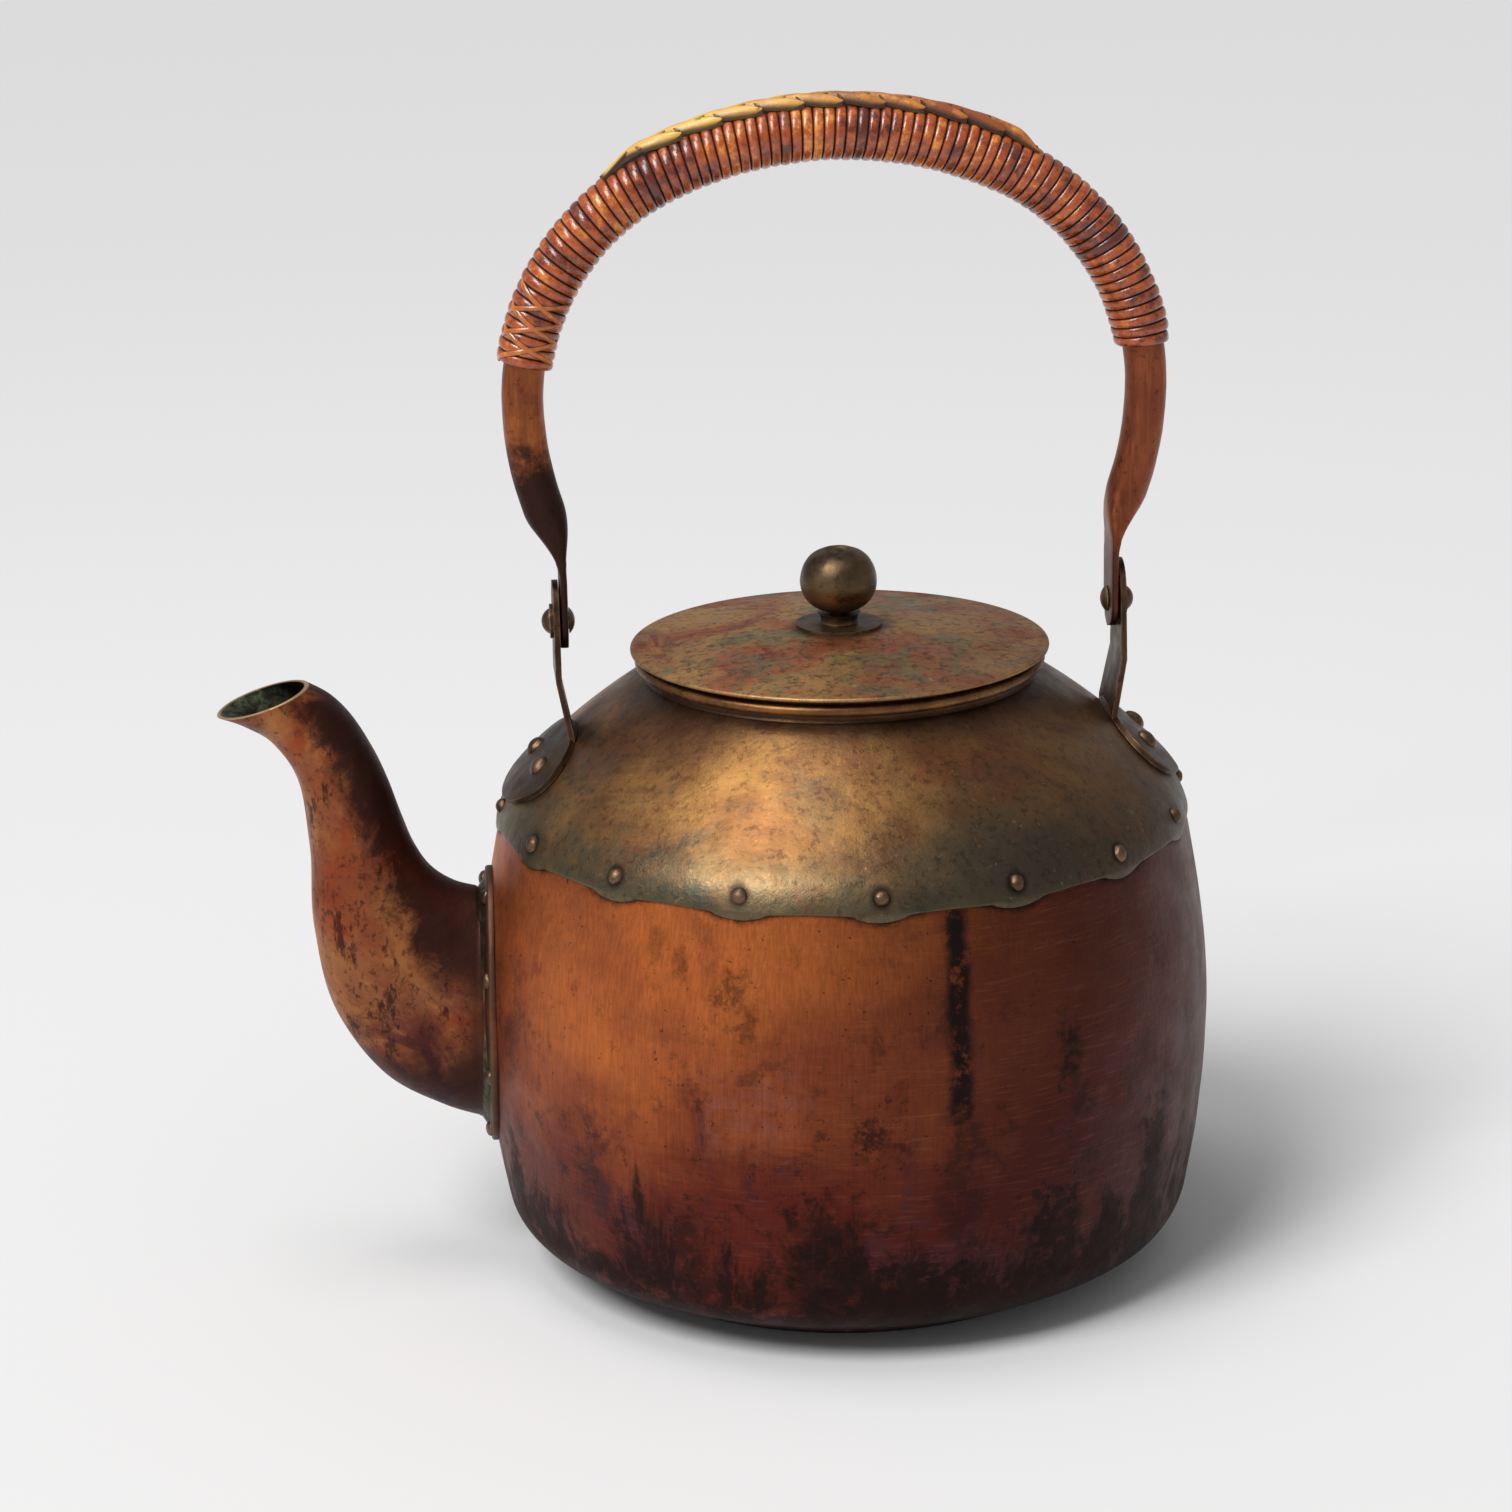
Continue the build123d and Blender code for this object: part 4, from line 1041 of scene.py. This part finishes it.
def make_wrap(material):
    """One strip of cane wound round the bail, turn beside turn."""
    section = [(-1.28, STRIP_LOW), (-1.32, 6.55), (-1.22, 6.90), (-0.92, 7.16), (-0.50, 7.30), (0.0, 7.34),
               (0.50, 7.30), (0.92, 7.16), (1.22, 6.90), (1.32, 6.55), (1.28, STRIP_LOW)]
    per_turn = 40
    turns = int(2 * WRAP_RUN / STRIP_PITCH)
    tones = [chance.uniform(0.3, 0.75) for _ in range(turns + 3)]
    swell = [chance.uniform(-0.14, 0.03) for _ in range(turns + 3)]
    # A few turns are nearly black.
    darker = {int(turns * share) for share in (0.53, 0.535, 0.27, 0.86)}
    verts = []
    colours = []
    total = turns * per_turn
    for k in range(total + 1):
        turn = k / per_turn
        whole = int(turn)
        part = turn - whole
        tone = tones[whole] * (1 - part) + tones[whole + 1] * part
        if whole in darker:
            tone *= 0.1
        puff = swell[whole] * (1 - part) + swell[whole + 1] * part
        ends = smooth(turn, 0, 0.4) * smooth(turns - turn, 0, 0.4)
        run = -WRAP_RUN + STRIP_PITCH * turn
        for off, radius in section:
            reach = STRIP_LOW + (radius - STRIP_LOW + puff * (radius > 6)) * (0.25 + 0.75 * ends)
            verts.append(wound_point(run + off, min(reach, WRAP_R), 2 * pi * turn + 1.2))
            # The gap mark, high at the strip's edges and underside, becomes painted shade in the cane.
            gap = min(1.0, abs(off) / 1.26) if radius > 6 else 1.0
            colours.append((tone, gap, 0.0, 1.0))
    cols = len(section)
    faces = grid_faces(total + 1, cols)
    faces += caps(0, len(verts), cols)
    for start in (1.0, 6.5, 12.0):
        for way in (-1, 1):
            crossing_strand(start, way, verts, faces, colours)
    make_piece("cane_winding", verts, faces, material, "bail", ["cane_wrap"], colours=colours)


def crossing_strand(start, way, verts, faces, colours):
    """A thin strand that binds the left end of the winding, laid across its turns."""
    section = [(-0.75, 6.9), (-0.72, 7.35), (-0.40, 7.62), (0.0, 7.70),
               (0.40, 7.62), (0.72, 7.35), (0.75, 6.9)]
    first = len(verts)
    count = 60
    for k in range(count + 1):
        share = k / count
        angle = -pi / 2 + way * pi * 0.9 * (share - 0.5)
        sink = 0.6 * (1 - smooth(share, 0, 0.15) * smooth(1 - share, 0, 0.15))
        for off, radius in section:
            verts.append(wound_point(-WRAP_RUN + start + 8.0 * share + off, radius - sink, angle))
            # The gap mark paints shade at the strand's edges; the third mark, 0.3, paints a little light.
            colours.append((0.55, min(1.0, abs(off) / 0.7), 0.3, 1.0))
    cols = len(section)
    faces += grid_faces(count + 1, cols, first)
    faces += caps(first, len(verts), cols)


def plait_shadow():
    """Painted shade: dull, dark cane that shows between the leaves of the plait, as the shade there."""
    shade = Shade("plait_shadow")
    shade.colour = shade.mix(shade.spots(260, 6, 0.7, 0.4, 0.62), srgb(20, 10, 6), srgb(70, 36, 16))
    return shade.finish(0.7, shade.bump(shade.noise(500, 5, 0.7), 0.0002), 0.0)


def make_braid(material, under):
    """Pointed leaves of cane that lap each other like a plait along the top."""
    make_braid_bed(under)
    count = int((BRAID_RIGHT - BRAID_LEFT - 9) / LEAF_PITCH)
    verts = []
    faces = []
    colours = []
    for k in range(count):
        side = -1 if k % 2 else 1
        start = BRAID_LEFT + 1.0 + k * LEAF_PITCH
        share = k / count
        # The tone varies at random and, as painted shade, falls towards the right; the next value paints
        # the leaves at the left bright, as painted light.
        tone = 0.45 + 0.5 * chance.random() - 0.4 * share
        painted_light = 0.95 - 0.9 * smooth(share, 0.1, 0.7)
        length = LEAF_LENGTH + chance.uniform(-0.8, 0.8)
        leaf(start, length, side, (tone, painted_light), verts, faces, colours)
    make_piece("cane_plait", verts, faces, material, "bail", ["cane_braid"], colours=colours)


def leaf(start, length, side, tones, verts, faces, colours):
    """One leaf: it starts past the crest, crosses it and dips to a point at the side."""
    first = len(verts)
    rows, cols = 20, 11
    for row in range(rows + 1):
        t = row / rows
        width = 1.9 * sin(pi * min(1.0, 0.2 + 0.8 * t)) ** 0.7 + 0.06
        across = -1.4 + 5.8 * t
        for col in range(cols):
            w = -1 + 2 * col / (cols - 1)
            out = across + 0.94 * w * width
            run = start + length * t - 0.34 * w * width
            radius = 9.4 - 0.06 * out ** 2 + 0.5 * (1 - w * w) + 0.75 * (t - 0.5) - 0.7 * max(w, 0) ** 2
            radius = min(radius, BRAID_R - 0.02 * out ** 2)
            taper = smooth(run, BRAID_LEFT, BRAID_LEFT + 12)
            taper *= 1 - smooth(run, BRAID_RIGHT - 6, BRAID_RIGHT + 1)
            radius = 7.5 + (radius - 7.5) * (0.25 + 0.75 * taper)
            flank = max(-4.4, min(4.4, out))
            verts.append(wound_point(min(run, BRAID_RIGHT + 1), radius, side * atan2(flank, radius)))
            # The groove value is the gap mark: painted shade along the leaf's edges and where it starts
            # under the leaf before.
            groove = max(0.45 + 0.55 * abs(w), 0.95 - 2.5 * t)
            colours.append((tones[0], groove, tones[1], 1.0))
    faces += grid_faces(rows + 1, cols, first, close_cols=False)
    # The underside closes the leaf into a thin solid.
    under = len(verts)
    for index in range(first, under):
        point = Vector(verts[index])
        verts.append(tuple(point + towards_bar(point)))
        colours.append((colours[index][0], 1.0, colours[index][2], 1.0))
    faces += [tuple(reversed(face)) for face in grid_faces(rows + 1, cols, under, close_cols=False)]
    rim = [first + c for c in range(cols)]
    rim += [first + r * cols + cols - 1 for r in range(1, rows + 1)]
    rim += [first + rows * cols + c for c in range(cols - 2, -1, -1)]
    rim += [first + r * cols for r in range(rows - 1, 0, -1)]
    shift = under - first
    for here, there in zip(rim, rim[1:] + rim[:1]):
        faces.append((there, here, here + shift, there + shift))


def towards_bar(point):
    """A short step from a point towards the middle of the bail."""
    middle = Vector((0, 0, BAIL_TOP_Z - TOP_ARC))
    flat = Vector((point.x, 0, point.z)) - middle
    return -flat.normalized() * 0.45


def make_braid_bed(material):
    """The dark band that the plait is bound on, painted dark as the shade between its leaves."""
    cols = 11
    verts = []
    colours = []
    runs = steps(BRAID_LEFT + 1, BRAID_RIGHT, 90)
    for run in runs:
        ends = smooth(run, BRAID_LEFT, BRAID_LEFT + 9)
        ends *= 1 - smooth(run, BRAID_RIGHT - 8, BRAID_RIGHT + 1)
        for col in range(cols):
            y = -3.0 + 6.0 * col / (cols - 1)
            radius = 7.25 + (1.15 - 0.045 * y * y) * (0.2 + 0.8 * ends)
            verts.append(wound_point(run, radius, atan2(y, radius)))
            colours.append((0.0, 0.9, 0.0, 1.0))
        for col in range(cols - 1, -1, -1):
            y = -3.0 + 6.0 * col / (cols - 1)
            verts.append(wound_point(run, 6.8, atan2(y, 6.8)))
            colours.append((0.0, 1.0, 0.0, 1.0))
    faces = grid_faces(len(runs), 2 * cols)
    faces += caps(0, len(verts), 2 * cols)
    make_piece("plait_bed", verts, faces, material, "bail", colours=colours)


# ---- carried-over CAD pieces ----
def finish_cad(node, material, bevel=0.0):
    """Gives a CAD node its material, and softens its edges."""
    piece = nodes[node]
    piece.data.materials.clear()
    piece.data.materials.append(material)
    if bevel:
        soft = piece.modifiers.new("soft_edges", "BEVEL")
        soft.width = bevel * MM
        soft.segments = 2
        soft.limit_method = "ANGLE"
        soft.angle_limit = radians(40)


# ---- camera, floor and light ----
def make_camera():
    """A long lens to the left of the kettle and above it, set by its three axes."""
    lens = bpy.data.cameras.new("camera")
    lens.lens = 100.0
    lens.sensor_width = 36.0
    lens.clip_end = 100.0
    camera = add_object("camera", lens)
    camera.location = (-0.10848, -1.03211, 0.44480)
    right = Vector((0.99584, -0.08916, -0.01886))
    up = Vector((0.0437, 0.28553, 0.95737))
    back = Vector((-0.07998, -0.95421, 0.28823))
    camera.rotation_mode = "QUATERNION"
    camera.rotation_quaternion = Matrix((right, up, back)).transposed().to_quaternion()
    bpy.context.scene.camera = camera


def make_floor():
    """A plain pale floor that fills the picture."""
    mesh = bpy.data.meshes.new("floor")
    half = 14.0
    corners = [(-half, -half, 0), (half, -half, 0), (half, half, 0), (-half, half, 0)]
    mesh.from_pydata(corners, [], [(0, 1, 2, 3)])
    floor = add_object("floor", mesh)
    material = bpy.data.materials.new("floor_paper")
    material.use_nodes = True
    shader = material.node_tree.nodes["Principled BSDF"]
    shader.inputs["Base Color"].default_value = (0.78, 0.78, 0.78, 1)
    shader.inputs["Roughness"].default_value = 0.9
    shader.inputs["Specular IOR Level"].default_value = 0.1
    mesh.materials.append(material)
    floor.location.z = -0.0003


def place_lamp(light, place, spot):
    """Puts a lamp in its place and points its beam at a spot."""
    lamp = add_object(light.name, light)
    lamp.location = place
    lamp.rotation_mode = "QUATERNION"
    lamp.rotation_quaternion = (Vector(spot) - lamp.location).to_track_quat("-Z", "Y")


def soft_box(name, place, width, height, power):
    """A square lamp that points at the kettle."""
    box = bpy.data.lights.new(name, "AREA")
    box.shape = "RECTANGLE"
    box.size, box.size_y = width, height
    box.energy = power
    place_lamp(box, place, (0, 0, 0.14))


def make_light():
    """A broad soft sun from the upper left, a softbox beside it and a pale room."""
    world = bpy.data.worlds.new("room")
    world.use_nodes = True
    sky = world.node_tree.nodes["Background"]
    sky.inputs["Color"].default_value = (1.0, 1.0, 1.0, 1)
    sky.inputs["Strength"].default_value = 0.36
    bpy.context.scene.world = world
    sun = bpy.data.lights.new("sun", "SUN")
    sun.energy = 2.25
    sun.angle = radians(27)
    place_lamp(sun, (-1.1, -1.0, 1.9), (0, 0, 0.08))
    soft_box("softbox", (-0.95, -1.1, 1.15), 0.17, 0.24, 2.8)
    soft_box("top_softbox", (-0.30, -0.02, 1.5), 0.45, 0.45, 4.0)
    bpy.context.scene.view_settings.view_transform = "Standard"


# ---- put it together ----
make_camera()
make_floor()
make_light()

copper = body_copper()
bronze_shoulder = shoulder_copper()
lid_skin = lid_copper()
dark_bronze = worn_metal("dark_bronze", srgb(58, 44, 35), srgb(88, 66, 47), srgb(160, 124, 86))
knob_bronze = worn_metal("knob_bronze", srgb(64, 54, 40), srgb(106, 86, 60), srgb(150, 124, 90), 0.5, 260)
bead_brass = worn_metal("bead_brass", srgb(104, 70, 44), srgb(142, 100, 60), srgb(186, 142, 90), 0.5)
rivet_copper = worn_metal("rivet_copper", srgb(78, 60, 46), srgb(122, 96, 74), srgb(190, 158, 126), 0.6)
bail_metal = bail_copper()
cane_red = cane("cane_red", srgb(92, 30, 8), srgb(168, 74, 18), srgb(232, 146, 52),
                srgb(26, 12, 6), 0.2, 0.6)
cane_gold = cane("cane_gold", srgb(134, 62, 24), srgb(190, 112, 42), srgb(238, 190, 88),
                 srgb(22, 11, 5), 0.3, 0.12)

make_body(copper)
make_shoulder(bronze_shoulder)
make_spout(spout_copper())
make_lid(lid_skin)
make_knob(knob_bronze)
make_bail(bail_metal)
make_wrap(cane_red)
make_braid(cane_gold, plait_shadow())
make_rivets("shoulder_rivet_heads", shoulder_seats(), 2.0, 1.5, rivet_copper, "shoulder_rivets")
make_rivets("spout_rivet_heads", spout_seats(), 2.1, 1.3, rivet_copper, "spout_rivets")
for side in ("left", "right"):
    make_rivets("ear_rivet_heads_" + side, ear_seats(side), 2.8, 1.8, rivet_copper, "ear_rivets_" + side)
    finish_cad("pivot_rivet_" + side, rivet_copper)
    finish_cad("pivot_washer_" + side, dark_bronze, 0.15)
    finish_cad("ear_" + side, dark_bronze, 0.25)
finish_cad("neck_bead", bead_brass)
finish_cad("lid_skirt", lid_skin)
finish_cad("knob_boss", knob_bronze, 0.2)
finish_cad("knob_collar", knob_bronze)
finish_cad("knob_stem", knob_bronze)
